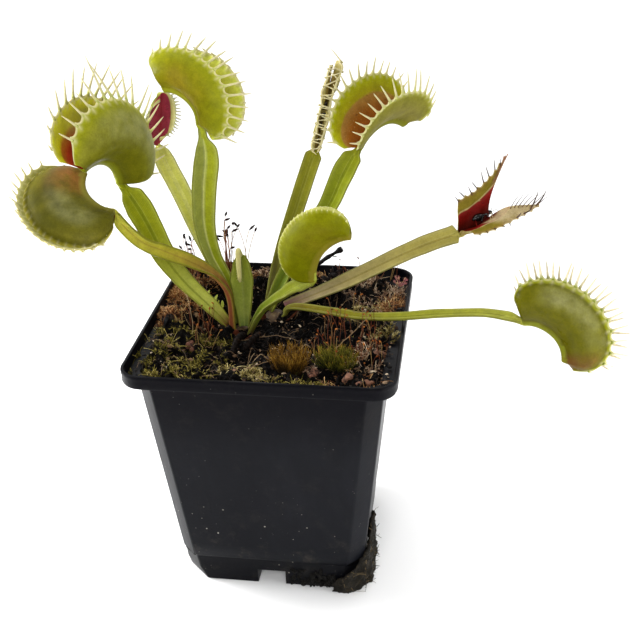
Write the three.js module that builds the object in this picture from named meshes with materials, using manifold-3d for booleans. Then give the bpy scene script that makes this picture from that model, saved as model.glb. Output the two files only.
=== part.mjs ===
// A potted venus flytrap: a thin moulded square pot, the peat that fills it, the rhizome that the leaves
// grow from, one solid for each leaf with its trap and teeth, and the small things on the peat.
// Millimetres and degrees. +Z is up, +Y is the back of the pot and the origin is the middle of the
// pot's underside.

import * as THREE from 'three';
import Module from 'manifold-3d';
import { mergeVertices } from 'three/addons/utils/BufferGeometryUtils.js';

// Driving dimensions of the pot, a common 9 cm nursery pot
const POT = {
  side: 90,
  height: 91.5,
  rimHeight: 5,
  rimRadius: 8,
  rimEdge: 0.5,
  lip: 1.4,
  wall: 1.3,
  shoulderHalf: 40.7,
  wallFootHalf: 32.9,
  chamfer: 5.4,
  footHeight: 11.3,
  footHalf: 31.9,
  footDraft: 0.4,
  footChamfer: 8.5,
  floor: 1.4,
  notchWidth: 10,
  notchHeight: 6.2,
  notchDepth: 8,
  drainHole: 5,
};
const FIT_GAP = 0.3;
const CORNER_POINTS = 5;
const DRAIN_SIDES = 12;

// How far a cutting solid runs past the face that it opens
const OVERRUN = 4;

// Driving dimensions of the peat and of the rhizome in it
const PEAT = {
  top: 84,
  relief: 1.3,
  wave: [0.31, 0.27],
  ripple: [0.63, 0.51],
  rippleShare: 0.6,
  edgeDrop: 3,
  sidePoints: 8,
  rings: 7,
  hollowDepth: 4.5,
  hollowRadius: 17,
};
const CROWN_Z = 82.6;
const CROWNS = [[-15, 8.6], [-4.6, 22.2]];
const BULB = { radius: 5.2, height: 4.6, neckRadius: 3.4, sides: 12, rings: 6 };
const ROOT = { radius: 0.8, length: 34, sides: 5, kneePlace: 0.75, kneeDepth: 0.4 };
const ROOT_FOOTS = [[-25, -2], [-14, 20], [-2, 8], [8, 26], [-12, 34]];

// Leaf blades: thickness at the midrib and at the margin, and how finely they are divided
const BLADE = { keel: 1.5, edge: 0.8, stations: 12 };
const TRAP = {
  keel: 1.7,
  lobe: 0.95,
  margin: 0.8,
  lengthSteps: 10,
  widthSteps: 4,
  endWidth: 0.28,
  outlinePower: 2.3,
  earPower: 1.5,
};
const TOOTH = { radius: 0.55, sunk: 0.9, fan: 0.55, endShare: 0.65 };
// The short stalk that joins a blade's tip to the trap's midrib
const BRIDGE = { before: 1.2, after: 2, radius: 0.75, sides: 6 };

const COLOURS = {
  pot: 0x25272b,
  peat: 0x2a211a,
  rhizome: 0xcfc6a2,
  green: 0x9aa83a,
  bright: 0x8fae36,
  olive: 0x80843c,
  pale: 0xb9b67a,
  tan: 0x9a9168,
  twig: 0x17130f,
  insect: 0x0c0c0e,
  golden: 0x9a7a30,
  moss: 0x6f7a2c,
};

// One entry for each leaf. path: middle line of the blade from the crown to the trap's neck.
// blade: [place along the path, left half width, right half width, fold angle].
// trap: heading of its midrib (yaw, pitch), turn about it (roll), midrib length and bend, lobe width,
// how far the margin's ends reach out, and the angle of each lobe at the midrib and at the margin.
const LEAVES = {
  leaf_a: {
    colour: COLOURS.olive,
    path: [[-16.8, 4.6, 82.8], [-17.2, 4.5, 97], [-21.6, 2.4, 105.7], [-29.3, -1.2, 112.4],
      [-36.9, -4.7, 117.5], [-43.2, -7.7, 121.9], [-48.3, -10, 128.7], [-50.2, -10.9, 132.8]],
    faces: [[0.8, 0.3, 0.5], [0.02, -0.86, -0.51]],
    blade: [[0, 1.6, 1.6, 25], [0.15, 1.6, 1.6, 35], [0.5, 2.5, 2.5, 30], [0.85, 2.2, 2.2, 22],
      [0.95, 1.8, 1.8, 15], [1, 0.8, 0.8, 0]],
    trap: { yaw: 185, pitch: 8, roll: -121, length: 22.5, bend: 97, width: 24, ears: 1, root: 47,
      left: -30, right: -32, teeth: 14, tooth: 3.5, lean: -25 },
  },
  leaf_b: {
    colour: COLOURS.bright,
    path: [[-19.4, 8, 83.6], [-25.1, 8.4, 89.7], [-34.8, 9.1, 99.7], [-41, 9.5, 108.7], [-45, 9.8, 118],
      [-48.3, 10, 125.3], [-51.7, 10.3, 131.1], [-54.2, 10.5, 135]],
    faces: [[0.4, -0.5, 0.75], [0.25, -0.85, 0.45]],
    blade: [[0, 1.7, 1.7, 25], [0.15, 2.8, 2.8, 28], [0.45, 4.3, 4, 24], [0.75, 4.6, 4.8, 20],
      [0.88, 3.6, 4.6, 18], [0.95, 1.3, 1.6, 8], [1, 0.8, 0.8, 0]],
    trap: { yaw: 280, pitch: 75, roll: -38, length: 24, bend: 91, width: 26.5, ears: 4.8, root: 62,
      left: -68, right: 6, teeth: 14, tooth: 8, lean: -12 },
  },
  leaf_c: {
    colour: COLOURS.green,
    path: [[-13.4, 13.2, 82.7], [-19, 16.5, 92], [-24.4, 21.3, 98.5], [-32.6, 28.1, 110.7],
      [-40.7, 34.9, 124.2], [-46.2, 39.5, 132], [-50, 42.8, 138.2]],
    faces: [[0.3, -0.6, 0.6], [0.35, -0.85, 0.35]],
    blade: [[0, 1.6, 1.6, 20], [0.2, 2.4, 2.4, 22], [0.5, 3.3, 3.3, 20], [0.85, 3.5, 3.5, 16],
      [0.94, 2.8, 2.8, 12], [1, 0.8, 0.8, 0]],
    trap: { yaw: 140, pitch: 86, roll: 0, length: 18, bend: 20, width: [9.5, 7], ears: 1.5, root: [40, 80],
      left: 20, right: 55, teeth: 12, tooth: 2.6, lean: -12 },
  },
  leaf_d: {
    colour: COLOURS.bright,
    path: [[-17.2, 11, 82.4], [-19.3, 10.9, 98], [-24.3, 11.1, 109.4], [-26.4, 11.1, 120.7],
      [-25.8, 11.1, 133.7], [-24.3, 11.1, 144.6], [-24.8, 11.1, 151.6], [-25.4, 11.1, 155.7]],
    faces: [[0.5, -0.8, 0.2], [0.25, -0.95, 0.2]],
    blade: [[0, 1.5, 1.5, 30], [0.15, 2.2, 2.2, 35], [0.5, 4.4, 4.4, 32], [0.72, 4.4, 4.8, 28],
      [0.84, 3.2, 4, 20], [0.93, 1.2, 1.4, 8], [1, 0.8, 0.8, 0]],
    trap: { yaw: 106, pitch: 74, roll: 58, length: 20.5, bend: 88, width: 18.5, ears: 3.8, root: 62,
      left: -32, right: -9, teeth: 14, tooth: 5, lean: -25 },
  },
  leaf_e: {
    colour: COLOURS.tan,
    path: [[-7.5, 24.8, 82.8], [-5.2, 29, 94], [-2.5, 33.6, 104.2], [1.6, 40.8, 117.2], [5.8, 48.1, 130.3],
      [7.7, 51.4, 135.4]],
    faces: [[0.2, -0.9, 0.3], [0.15, -0.95, 0.2]],
    blade: [[0, 1.6, 1.6, 15], [0.2, 2.2, 2.2, 20], [0.6, 3, 3, 22], [0.9, 3, 3, 18],
      [0.96, 1.6, 1.6, 8], [1, 0.8, 0.8, 0]],
    trap: { yaw: 60, pitch: 76, roll: 38, length: 25, bend: 12, width: 9, ears: 2, root: 22,
      left: 2, right: 2, teeth: 13, tooth: 7, lean: -8 },
  },
  leaf_f: {
    colour: COLOURS.bright,
    path: [[-7, 21, 83.2], [-2.2, 24.7, 94.1], [5.8, 30.9, 107.6], [13.7, 37.1, 117.9], [18.5, 40.9, 128.2],
      [21.6, 43.3, 134.3], [23, 44.3, 136.6]],
    faces: [[-0.1, -0.8, 0.6], [-0.3, -0.75, 0.6]],
    blade: [[0, 1.7, 1.7, 20], [0.2, 2.6, 2.6, 25], [0.5, 3.8, 3.8, 24], [0.75, 4.5, 4.5, 20],
      [0.88, 4.2, 4.2, 16], [0.95, 1.8, 1.8, 8], [1, 0.8, 0.8, 0]],
    trap: { yaw: 44, pitch: 48, roll: 8, length: 28, bend: 79, width: 20, ears: 2, root: 45,
      left: 10, right: 21, teeth: 14, tooth: 6, lean: -12 },
  },
  leaf_g: {
    colour: COLOURS.bright,
    path: [[-11.6, 5.6, 81.9], [-5.7, 3.2, 92.5], [3.4, -0.7, 101], [9.1, -3.1, 104.8], [14.2, -5.3, 107]],
    faces: [[-0.5, -0.3, 0.8], [-0.7, -0.3, 0.6]],
    blade: [[0, 1.5, 1.5, 30], [0.3, 2, 2.2, 35], [0.7, 3.6, 3, 30], [0.86, 3.4, 2.8, 22],
      [0.94, 1.6, 1.6, 10], [1, 0.8, 0.8, 0]],
    trap: { yaw: 30, pitch: 89, roll: -50, length: 26, bend: 72, width: 15.4, ears: 0.2, root: 47,
      left: -38, right: -40, teeth: 14, tooth: 1.6, lean: 0 },
  },
  leaf_h: {
    colour: COLOURS.pale,
    path: [[-1.4, 23.6, 84], [11.3, 28.1, 88], [21.7, 31.9, 91.7], [40, 38.6, 99.2], [50.8, 42.5, 103],
      [58, 45.2, 105], [60.9, 46.2, 106]],
    faces: [[-0.15, -0.6, 0.75], [-0.15, -0.8, 0.55]],
    blade: [[0, 1.7, 1.7, 12], [0.2, 2.5, 2.5, 14], [0.5, 3.2, 3.2, 14], [0.93, 3.4, 3.4, 14],
      [0.97, 2, 2, 8], [1, 0.8, 0.8, 0]],
    trap: { yaw: 45, pitch: 10, roll: 0, length: 12, bend: 8, width: [11, 7.2], ends: [0.75, 1.65],
      ears: [-1, 15], root: [10, 62], left: 14, right: 76, teeth: 8, tooth: 4, lean: 5 },
  },
  leaf_i: {
    colour: COLOURS.green,
    path: [[-1.4, 18.8, 83], [2.8, 17.4, 87], [17.3, 10.8, 89.1], [28.4, 5.8, 90.3], [41.1, 0.4, 93.4],
      [56.5, -6.5, 98.8], [69.6, -12.4, 102.8], [77.5, -15.9, 103.5], [82.3, -17.9, 103]],
    faces: [[0, -0.2, 1], [-0.1, -0.3, 0.95]],
    blade: [[0, 1.6, 1.6, 15], [0.15, 1.6, 1.6, 20], [0.5, 1.9, 1.9, 20], [0.9, 1.7, 1.7, 18],
      [1, 0.8, 0.8, 0]],
    trap: { yaw: -8, pitch: 10, roll: -13, length: 21.5, bend: 96, width: 19.5, ears: 2.2, root: 54,
      left: -30, right: -29, teeth: 14, tooth: 4.5, lean: -15 },
  },
};

// The young leaf: its blade, and the rolled trap that lies folded down on it
const YOUNG = {
  path: [[-13.6, 8.4, 83], [-13.6, 9.2, 93], [-13.7, 10, 102], [-13.8, 10.6, 110]],
  faces: [[0, -1, 0.1], [0, -1, 0.1]],
  blade: [[0, 1.6, 1.6, 25], [0.35, 3.4, 3.4, 24], [0.65, 4.1, 4.1, 20], [0.9, 2.6, 2.6, 15], [1, 1, 1, 5]],
  bud: [[-14.2, 8.4, 112.6], [-14.1, 7.3, 108], [-13.8, 6.3, 101.5]],
  budRadius: 0.95,
  budSteps: 10,
  budSides: 8,
};

// Small things on the peat
const TUFTS = {
  moss_tuft_golden: {
    colour: COLOURS.golden,
    at: [8.5, -26],
    radius: 4.8,
    height: 9.5,
    spikes: 44,
    spread: 34,
    seed: 11,
  },
  moss_tuft_green: {
    colour: COLOURS.moss,
    at: [23, -21],
    radius: 3.6,
    height: 7,
    spikes: 30,
    spread: 32,
    seed: 23,
  },
};
const TUFT_CORE = { height: 0.6, sides: 10, rises: [0, 0.3, 0.6, 0.85] };
const SPIKE = { radius: 0.4, rootReach: 0.7, turn: 2.39996, wobble: 0.4, shortest: 0.5, longer: 0.25 };
const TWIG = {
  path: [[-1, 34, 79], [2.5, 35.5, 86], [9.6, 38, 94.9], [18.3, 38, 101.3]],
  radius: 0.9,
  sides: 6,
};
const INSECT = { along: 0.85, away: 3.4, body: [2.8, 1.2, 1.1], head: 0.8 };
// Mud and roots on the outside of the pot's front right corner. reach: [place along the corner, height,
// thickness]. It starts at x = from on the front face and ends at y = to on the right face.
const MUD = {
  gap: 0.6,
  from: 22,
  to: -8,
  reach: [[0, 4, 0.5], [0.25, 10, 1.2], [0.5, 17, 2.2], [0.75, 24, 2.6], [1, 15, 0.7]],
  thinnest: 0.6,
  lump: 0.25,
  columns: 12,
  rows: 5,
};

const wasm = await Module();
wasm.setup();

const UP = new THREE.Vector3(0, 0, 1);
const vec = (p) => new THREE.Vector3(...p);
const rad = THREE.MathUtils.degToRad;
const lerp = THREE.MathUtils.lerp;

// A value that is one number, or two where the left and right lobes or the two ends differ
const pick = (value, second) => (Array.isArray(value) ? value[second ? 1 : 0] : value);

// Repeatable random numbers between 0 and 1
function randomFrom(seed) {
  let state = seed;
  return () => {
    state = (state * 1103515245 + 12345) % 2147483648;
    return state / 2147483648;
  };
}

// Closed solid from points and triangles, turned so that its faces point out
function solid(points, triangles) {
  let volume = 0;
  for (const [a, b, c] of triangles) {
    volume += points[a].dot(points[b].clone().cross(points[c]));
  }
  const ordered = volume < 0 ? triangles.map(([a, b, c]) => [a, c, b]) : triangles;
  const geometry = new THREE.BufferGeometry();
  const places = points.flatMap((p) => [p.x, p.y, p.z]);
  geometry.setAttribute('position', new THREE.Float32BufferAttribute(places, 3));
  geometry.setIndex(ordered.flat());
  return geometry;
}

// Closed solid through rings that have the same number of points, capped with fans
function loft(rings) {
  const count = rings[0].length;
  const points = rings.flat();
  const triangles = [];
  for (let r = 0; r < rings.length - 1; r += 1) {
    for (let i = 0; i < count; i += 1) {
      const a = r * count + i;
      const b = r * count + (i + 1) % count;
      triangles.push([a, b, b + count], [a, b + count, a + count]);
    }
  }
  for (const [first, flip] of [[0, true], [(rings.length - 1) * count, false]]) {
    const ring = points.slice(first, first + count);
    const middle = points.length;
    points.push(ring.reduce((sum, p) => sum.add(p), new THREE.Vector3()).divideScalar(count));
    for (let i = 0; i < count; i += 1) {
      const a = first + i;
      const b = first + (i + 1) % count;
      triangles.push(flip ? [middle, b, a] : [middle, a, b]);
    }
  }
  return solid(points, triangles);
}

// Closed sheet between two grids of points, split into triangles alike on both faces
function sheet(upper, lower) {
  const rows = upper.length;
  const columns = upper[0].length;
  const points = [...upper.flat(), ...lower.flat()];
  const under = rows * columns;
  const triangles = [];
  const strip = (a, b) => triangles.push([a, b, b + under], [a, b + under, a + under]);
  for (let i = 0; i < rows - 1; i += 1) {
    for (let j = 0; j < columns - 1; j += 1) {
      const a = i * columns + j;
      const c = a + columns;
      triangles.push([a, a + 1, c + 1], [a, c + 1, c]);
      triangles.push([under + a, under + c + 1, under + a + 1], [under + a, under + c, under + c + 1]);
    }
  }
  for (let j = 0; j < columns - 1; j += 1) {
    strip(j + 1, j);
    strip(under - columns + j, under - columns + j + 1);
  }
  for (let i = 0; i < rows - 1; i += 1) {
    strip(i * columns, (i + 1) * columns);
    strip((i + 2) * columns - 1, (i + 1) * columns - 1);
  }
  return solid(points, triangles);
}

// Joining and cutting
function toManifold(geometry) {
  const bare = geometry.clone();
  bare.deleteAttribute('normal');
  bare.deleteAttribute('uv');
  const merged = mergeVertices(bare, 1e-4);
  return new wasm.Manifold(new wasm.Mesh({
    numProp: 3,
    vertProperties: new Float32Array(merged.attributes.position.array),
    triVerts: new Uint32Array(merged.index.array),
  }));
}

function toGeometry(manifold) {
  const mesh = manifold.getMesh();
  const geometry = new THREE.BufferGeometry();
  geometry.setAttribute('position', new THREE.Float32BufferAttribute(mesh.vertProperties, 3));
  geometry.setIndex(Array.from(mesh.triVerts));
  return geometry;
}

const joined = (geometries) => geometries.map(toManifold).reduce((whole, piece) => whole.add(piece));

// The largest connected body of a joined solid, without loose scraps
function mainBody(manifold) {
  const bodies = manifold.decompose();
  return bodies.reduce((best, body) => (body.volume() > best.volume() ? body : best));
}

function named(name, geometry, colour, roughness) {
  const shaded = geometry.clone();
  shaded.computeVertexNormals();
  const material = new THREE.MeshStandardMaterial({ color: colour, roughness, metalness: 0 });
  const mesh = new THREE.Mesh(shaded, material);
  mesh.name = name;
  return mesh;
}

// One corner of a square outline, rounded by an arc or cut by a straight chamfer
function cornerPoint(half, cut, step, rounded) {
  const t = step / (CORNER_POINTS - 1);
  if (!rounded) return [half - cut * t, half - cut * (1 - t)];
  const angle = t * Math.PI / 2;
  return [half - cut + cut * Math.cos(angle), half - cut + cut * Math.sin(angle)];
}

function squareRing(half, cut, z, rounded = false) {
  const ring = [];
  for (let corner = 0; corner < 4; corner += 1) {
    const turn = corner * Math.PI / 2;
    for (let step = 0; step < CORNER_POINTS; step += 1) {
      const [x, y] = cornerPoint(half, cut, step, rounded);
      ring.push(new THREE.Vector3(x, y, z).applyAxisAngle(UP, turn));
    }
  }
  return ring;
}

function box(size, centre) {
  const geometry = new THREE.BoxGeometry(...size);
  geometry.translate(...centre);
  return geometry;
}

// The space inside the pot, made smaller by a gap for what fills it
function potInside(gap, topZ) {
  const shelf = POT.height - POT.rimHeight + POT.wall;
  const cut = POT.chamfer - POT.wall * (2 - Math.SQRT2);
  const rings = [
    squareRing(POT.footHalf - POT.wall - gap, POT.footChamfer - POT.wall / 2, POT.floor + gap),
    squareRing(POT.wallFootHalf - POT.wall - gap, cut, POT.footHeight + gap),
    squareRing(POT.shoulderHalf - POT.wall - gap, cut, shelf),
  ];
  if (topZ > shelf) {
    const rimHalf = POT.side / 2 - POT.lip - gap;
    rings.push(squareRing(rimHalf, POT.rimRadius - POT.lip, shelf + 0.01, true));
    rings.push(squareRing(rimHalf, POT.rimRadius - POT.lip, topZ, true));
  }
  return rings;
}

// A raised box of wall over each drainage notch, larger by a gap where the peat is cut
function humps(gap) {
  const grow = POT.wall + gap;
  const outer = POT.footHalf + OVERRUN;
  const inner = POT.footHalf - POT.notchDepth - grow;
  const height = POT.notchHeight + grow;
  const size = [POT.notchWidth + 2 * grow, outer - inner, height];
  return [0, 1, 2, 3].map((quarter) => {
    const hump = box(size, [0, -(outer + inner) / 2, height / 2]);
    return hump.rotateZ(quarter * Math.PI / 2);
  });
}

// A drainage notch in the foot below one face, with the round hole behind it
function drain(quarter) {
  const reach = POT.notchDepth + OVERRUN;
  const notch = box(
    [POT.notchWidth, reach, POT.notchHeight + OVERRUN],
    [0, -(POT.footHalf - POT.notchDepth + reach / 2), (POT.notchHeight - OVERRUN) / 2],
  );
  const radius = POT.drainHole / 2;
  const hole = new THREE.CylinderGeometry(radius, radius, POT.notchDepth - 2, DRAIN_SIDES);
  hole.rotateX(Math.PI / 2);
  hole.translate(0, -(POT.footHalf - POT.notchDepth / 2 - 0.5), POT.notchHeight);
  return [notch, hole].map((piece) => toManifold(piece.rotateZ(quarter * Math.PI / 2)));
}

function makePot() {
  const top = POT.height;
  const shelf = top - POT.rimHeight;
  const half = POT.side / 2;
  const edge = POT.rimEdge;
  const outside = loft([
    squareRing(POT.footHalf, POT.footChamfer, 0),
    squareRing(POT.footHalf + POT.footDraft, POT.chamfer, POT.footHeight / 2),
    squareRing(POT.footHalf + POT.footDraft, POT.chamfer, POT.footHeight - POT.footDraft),
    squareRing(POT.wallFootHalf, POT.chamfer, POT.footHeight),
    squareRing(POT.shoulderHalf, POT.chamfer, shelf - POT.footDraft),
    squareRing(half - edge, POT.rimRadius - edge, shelf, true),
    squareRing(half, POT.rimRadius, shelf + edge, true),
    squareRing(half, POT.rimRadius, top - edge, true),
    squareRing(half - edge, POT.rimRadius - edge, top, true),
  ]);
  const humpSolids = humps(0).map(toManifold);
  const inside = humpSolids.reduce(
    (space, hump) => space.subtract(hump),
    toManifold(loft(potInside(0, top + OVERRUN))),
  );
  const cuts = [inside, ...[0, 1, 2, 3].flatMap(drain)];
  const pot = cuts.reduce((whole, cut) => whole.subtract(cut), toManifold(outside));
  return named('pot', toGeometry(pot), COLOURS.pot, 0.45);
}

// Height of the peat: low waves, a hollow round the crown and a fall at the pot's wall
function peatHeight(x, y) {
  const wave = Math.sin(x * PEAT.wave[0] + 1.3) * Math.cos(y * PEAT.wave[1] - 0.6);
  const ripple = PEAT.rippleShare * Math.sin(x * PEAT.ripple[0] + y * PEAT.ripple[1]);
  const middle = [(CROWNS[0][0] + CROWNS[1][0]) / 2, (CROWNS[0][1] + CROWNS[1][1]) / 2];
  const away = Math.hypot(x - middle[0], y - middle[1]) / PEAT.hollowRadius;
  return PEAT.top + PEAT.relief * (wave + ripple) - PEAT.hollowDepth * Math.exp(-away * away);
}

// The bulb under each crown and the waist between them, with thick roots, larger by a gap for the hole
function rhizomeSolid(grow) {
  const parts = CROWNS.map(([x, y]) => {
    const ball = new THREE.SphereGeometry(1, BULB.sides, BULB.rings);
    ball.rotateX(Math.PI / 2);
    ball.scale(BULB.radius + grow, BULB.radius + grow, BULB.height + grow);
    return ball.translate(x, y, CROWN_Z - BULB.height);
  });
  const ends = CROWNS.map(([x, y]) => new THREE.Vector3(x, y, CROWN_Z - BULB.height - 0.6));
  parts.push(tube(ends, BULB.neckRadius + grow, BULB.sides));
  for (const [x, y] of ROOT_FOOTS) {
    const distances = CROWNS.map((crown) => Math.hypot(crown[0] - x, crown[1] - y));
    const near = CROWNS[distances.indexOf(Math.min(...distances))];
    const start = new THREE.Vector3(...near, CROWN_Z - BULB.height);
    const foot = new THREE.Vector3(x, y, CROWN_Z - ROOT.length - grow);
    const knee = start.clone().lerp(foot, ROOT.kneePlace);
    knee.z = CROWN_Z - ROOT.length * ROOT.kneeDepth;
    parts.push(tube([start, knee, foot], ROOT.radius + grow, ROOT.sides));
  }
  return joined(parts);
}

// Straight-sided tube through points
function tube(points, radius, sides) {
  const side = new THREE.Vector3();
  const up = new THREE.Vector3();
  const rings = points.map((p, i) => {
    const before = points[Math.max(i - 1, 0)];
    const after = points[Math.min(i + 1, points.length - 1)];
    const heading = after.clone().sub(before).normalize();
    if (i === 0) {
      side.crossVectors(heading, Math.abs(heading.z) < 0.9 ? UP : vec([1, 0, 0]));
    }
    side.addScaledVector(heading, -side.dot(heading)).normalize();
    up.crossVectors(heading, side);
    return Array.from({ length: sides }, (_, k) => {
      const angle = k / sides * 2 * Math.PI;
      const point = p.clone().addScaledVector(side, radius * Math.cos(angle));
      return point.addScaledVector(up, radius * Math.sin(angle));
    });
  });
  return loft(rings);
}

function makePeat() {
  const outline = potInside(FIT_GAP, 0);
  const wallTop = outline[2];
  const count = PEAT.sidePoints * 4;
  const around = (ring) => Array.from({ length: count }, (_, k) => {
    const place = k / count * ring.length;
    const i = Math.floor(place);
    return ring[i].clone().lerp(ring[(i + 1) % ring.length], place - i);
  });
  const rings = outline.slice(0, 2).map(around);
  const edge = around(wallTop);
  const low = around(outline[1]);
  const share = (PEAT.top - PEAT.edgeDrop - outline[1][0].z) / (wallTop[0].z - outline[1][0].z);
  const rim = low.map((p, i) => p.clone().lerp(edge[i], share));
  rings.push(rim);
  for (let step = 0; step < PEAT.rings; step += 1) {
    const scale = 1 - step / PEAT.rings;
    rings.push(rim.map(({ x, y }) => vec([x * scale, y * scale, peatHeight(x * scale, y * scale)])));
  }
  const cuts = [...humps(FIT_GAP), twigSolid(FIT_GAP)].map(toManifold);
  const peat = [rhizomeSolid(FIT_GAP), ...cuts].reduce(
    (whole, cut) => whole.subtract(cut),
    toManifold(loft(rings)),
  );
  return named('peat', toGeometry(mainBody(peat)), COLOURS.peat, 1);
}

// The twig, or larger and longer by a gap for its hole
function twigSolid(grow) {
  const points = TWIG.path.map(vec);
  points[0].z -= grow;
  return tube(points, TWIG.radius + grow, TWIG.sides);
}

function makeTwig() {
  return named('twig', twigSolid(0), COLOURS.twig, 0.9);
}

// Outline of the pot's corner that the mud follows, clear of the wall
function mudRoute() {
  const half = POT.wallFootHalf + MUD.gap;
  const low = POT.chamfer - half;
  const corners = [[MUD.from, -half], [-low, -half], [half, low], [half, MUD.to]];
  const points = corners.map(([x, y]) => new THREE.Vector2(x, y));
  const route = new THREE.CurvePath();
  for (let i = 0; i < points.length - 1; i += 1) {
    route.add(new THREE.LineCurve(points[i], points[i + 1]));
  }
  return route;
}

// Crust of mud round the corner, leaning out with the pot's wall
function makeMud() {
  const slope = (POT.shoulderHalf - POT.wallFootHalf) / (POT.height - POT.rimHeight - POT.footHeight);
  const route = mudRoute();
  const inner = [];
  const outer = [];
  for (let i = 0; i <= MUD.columns; i += 1) {
    const place = i / MUD.columns;
    const point = route.getPoint(place);
    const heading = route.getTangent(place);
    const out = vec([heading.y, -heading.x, 0]);
    const [top, thickness] = keyed(MUD.reach, place);
    const innerColumn = [];
    const outerColumn = [];
    for (let j = 0; j <= MUD.rows; j += 1) {
      const z = FIT_GAP + (top - FIT_GAP) * j / MUD.rows;
      const lumps = 1 - MUD.lump + MUD.lump * Math.sin(i * 2.1 + j * 1.7) * Math.cos(j * 2.9 - i);
      const depth = MUD.thinnest + thickness * lumps * Math.cos(j / MUD.rows * Math.PI / 2.2);
      const wall = vec([point.x, point.y, z]);
      wall.addScaledVector(out, slope * Math.max(0, z - POT.footHeight));
      innerColumn.push(wall);
      outerColumn.push(wall.clone().addScaledVector(out, depth));
    }
    inner.push(innerColumn);
    outer.push(outerColumn);
  }
  return named('mud', sheet(inner, outer), COLOURS.peat, 1);
}

// The insect in the fold of the dying trap
function makeInsect() {
  const { path, trap } = LEAVES.leaf_h;
  const frame = trapFrame(trap);
  const { point, heading, out } = lobePoint(vec(path[path.length - 1]), frame, trap, INSECT.along, 0);
  const between = rad((trap.root[1] - trap.root[0]) / 2);
  const way = out.clone().multiplyScalar(-Math.cos(between)).addScaledVector(frame.right, Math.sin(between));
  const centre = point.clone().addScaledVector(way, INSECT.away);
  const place = new THREE.Matrix4().makeBasis(heading, way.clone().cross(heading), way).setPosition(centre);
  const body = new THREE.SphereGeometry(1, 10, 7).scale(...INSECT.body);
  const head = new THREE.SphereGeometry(INSECT.head, 8, 5).translate(INSECT.body[0], 0, 0);
  const whole = joined([body.applyMatrix4(place), head.applyMatrix4(place)]);
  return named('insect', toGeometry(whole), COLOURS.insect, 0.2);
}

function makeRhizome() {
  return named('rhizome', toGeometry(rhizomeSolid(0)), COLOURS.rhizome, 0.7);
}

// Value at u of keys [u, value, value, ...], in straight steps
function keyed(keys, u) {
  let i = 0;
  while (i < keys.length - 2 && keys[i + 1][0] < u) i += 1;
  const [a, b] = [keys[i], keys[i + 1]];
  const t = THREE.MathUtils.clamp((u - a[0]) / (b[0] - a[0]), 0, 1);
  return a.slice(1).map((value, k) => lerp(value, b[k + 1], t));
}

// Folded blade along a path: five points across each face, thick at the keel and thin at the edges
function blade(path, faces, keys) {
  const curve = new THREE.CatmullRomCurve3(path.map(vec), false, 'catmullrom', 0.5);
  const upper = [];
  const lower = [];
  for (let s = 0; s <= BLADE.stations; s += 1) {
    const u = s / BLADE.stations;
    const middle = curve.getPoint(u);
    const heading = curve.getTangent(u);
    const face = vec(faces[0]).lerp(vec(faces[1]), u);
    const right = heading.clone().cross(face).normalize();
    const normal = right.clone().cross(heading);
    const [leftHalf, rightHalf, fold] = keyed(keys, u);
    const top = [];
    const bottom = [];
    for (const across of [-1, -0.5, 0, 0.5, 1]) {
      const reach = Math.abs(across) * (across < 0 ? leftHalf : rightHalf);
      const way = right.clone().multiplyScalar(Math.sign(across) * Math.cos(rad(fold)));
      way.addScaledVector(normal, Math.sin(rad(fold)));
      const point = middle.clone().addScaledVector(way, reach);
      const down = normal.clone().multiplyScalar(Math.cos(rad(fold)));
      down.addScaledVector(right, -Math.sign(across) * Math.sin(rad(fold)));
      const thickness = lerp(BLADE.keel, BLADE.edge, Math.abs(across) ** 0.7);
      top.push(point);
      bottom.push(point.clone().addScaledVector(across === 0 ? normal : down, -thickness));
    }
    upper.push(top);
    lower.push(bottom);
  }
  return sheet(upper, lower);
}

// Directions of a trap at its neck: the midrib's heading, the side that it opens to, and its right side
function trapFrame({ yaw, pitch, roll }) {
  const [y, p, r] = [rad(yaw), rad(pitch), rad(roll)];
  const heading = new THREE.Vector3(Math.cos(y) * Math.cos(p), Math.sin(y) * Math.cos(p), Math.sin(p));
  const open = new THREE.Vector3(-Math.cos(y) * Math.sin(p), -Math.sin(y) * Math.sin(p), Math.cos(p));
  open.applyAxisAngle(heading, r);
  return { heading, open, right: heading.clone().cross(open) };
}

// Lobe width along the midrib: blunt at both ends and widest in the middle
function lobeWidth(trap, u, side) {
  const power = TRAP.outlinePower;
  const bow = Math.max(0, 1 - Math.abs(2 * u - 1) ** power) ** (1 / power);
  const ends = trap.ends ?? TRAP.endWidth;
  const end = lerp(pick(ends, false), pick(ends, true), u);
  return pick(trap.width, side > 0) * (end + Math.max(0, 1 - end) * bow);
}

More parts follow.
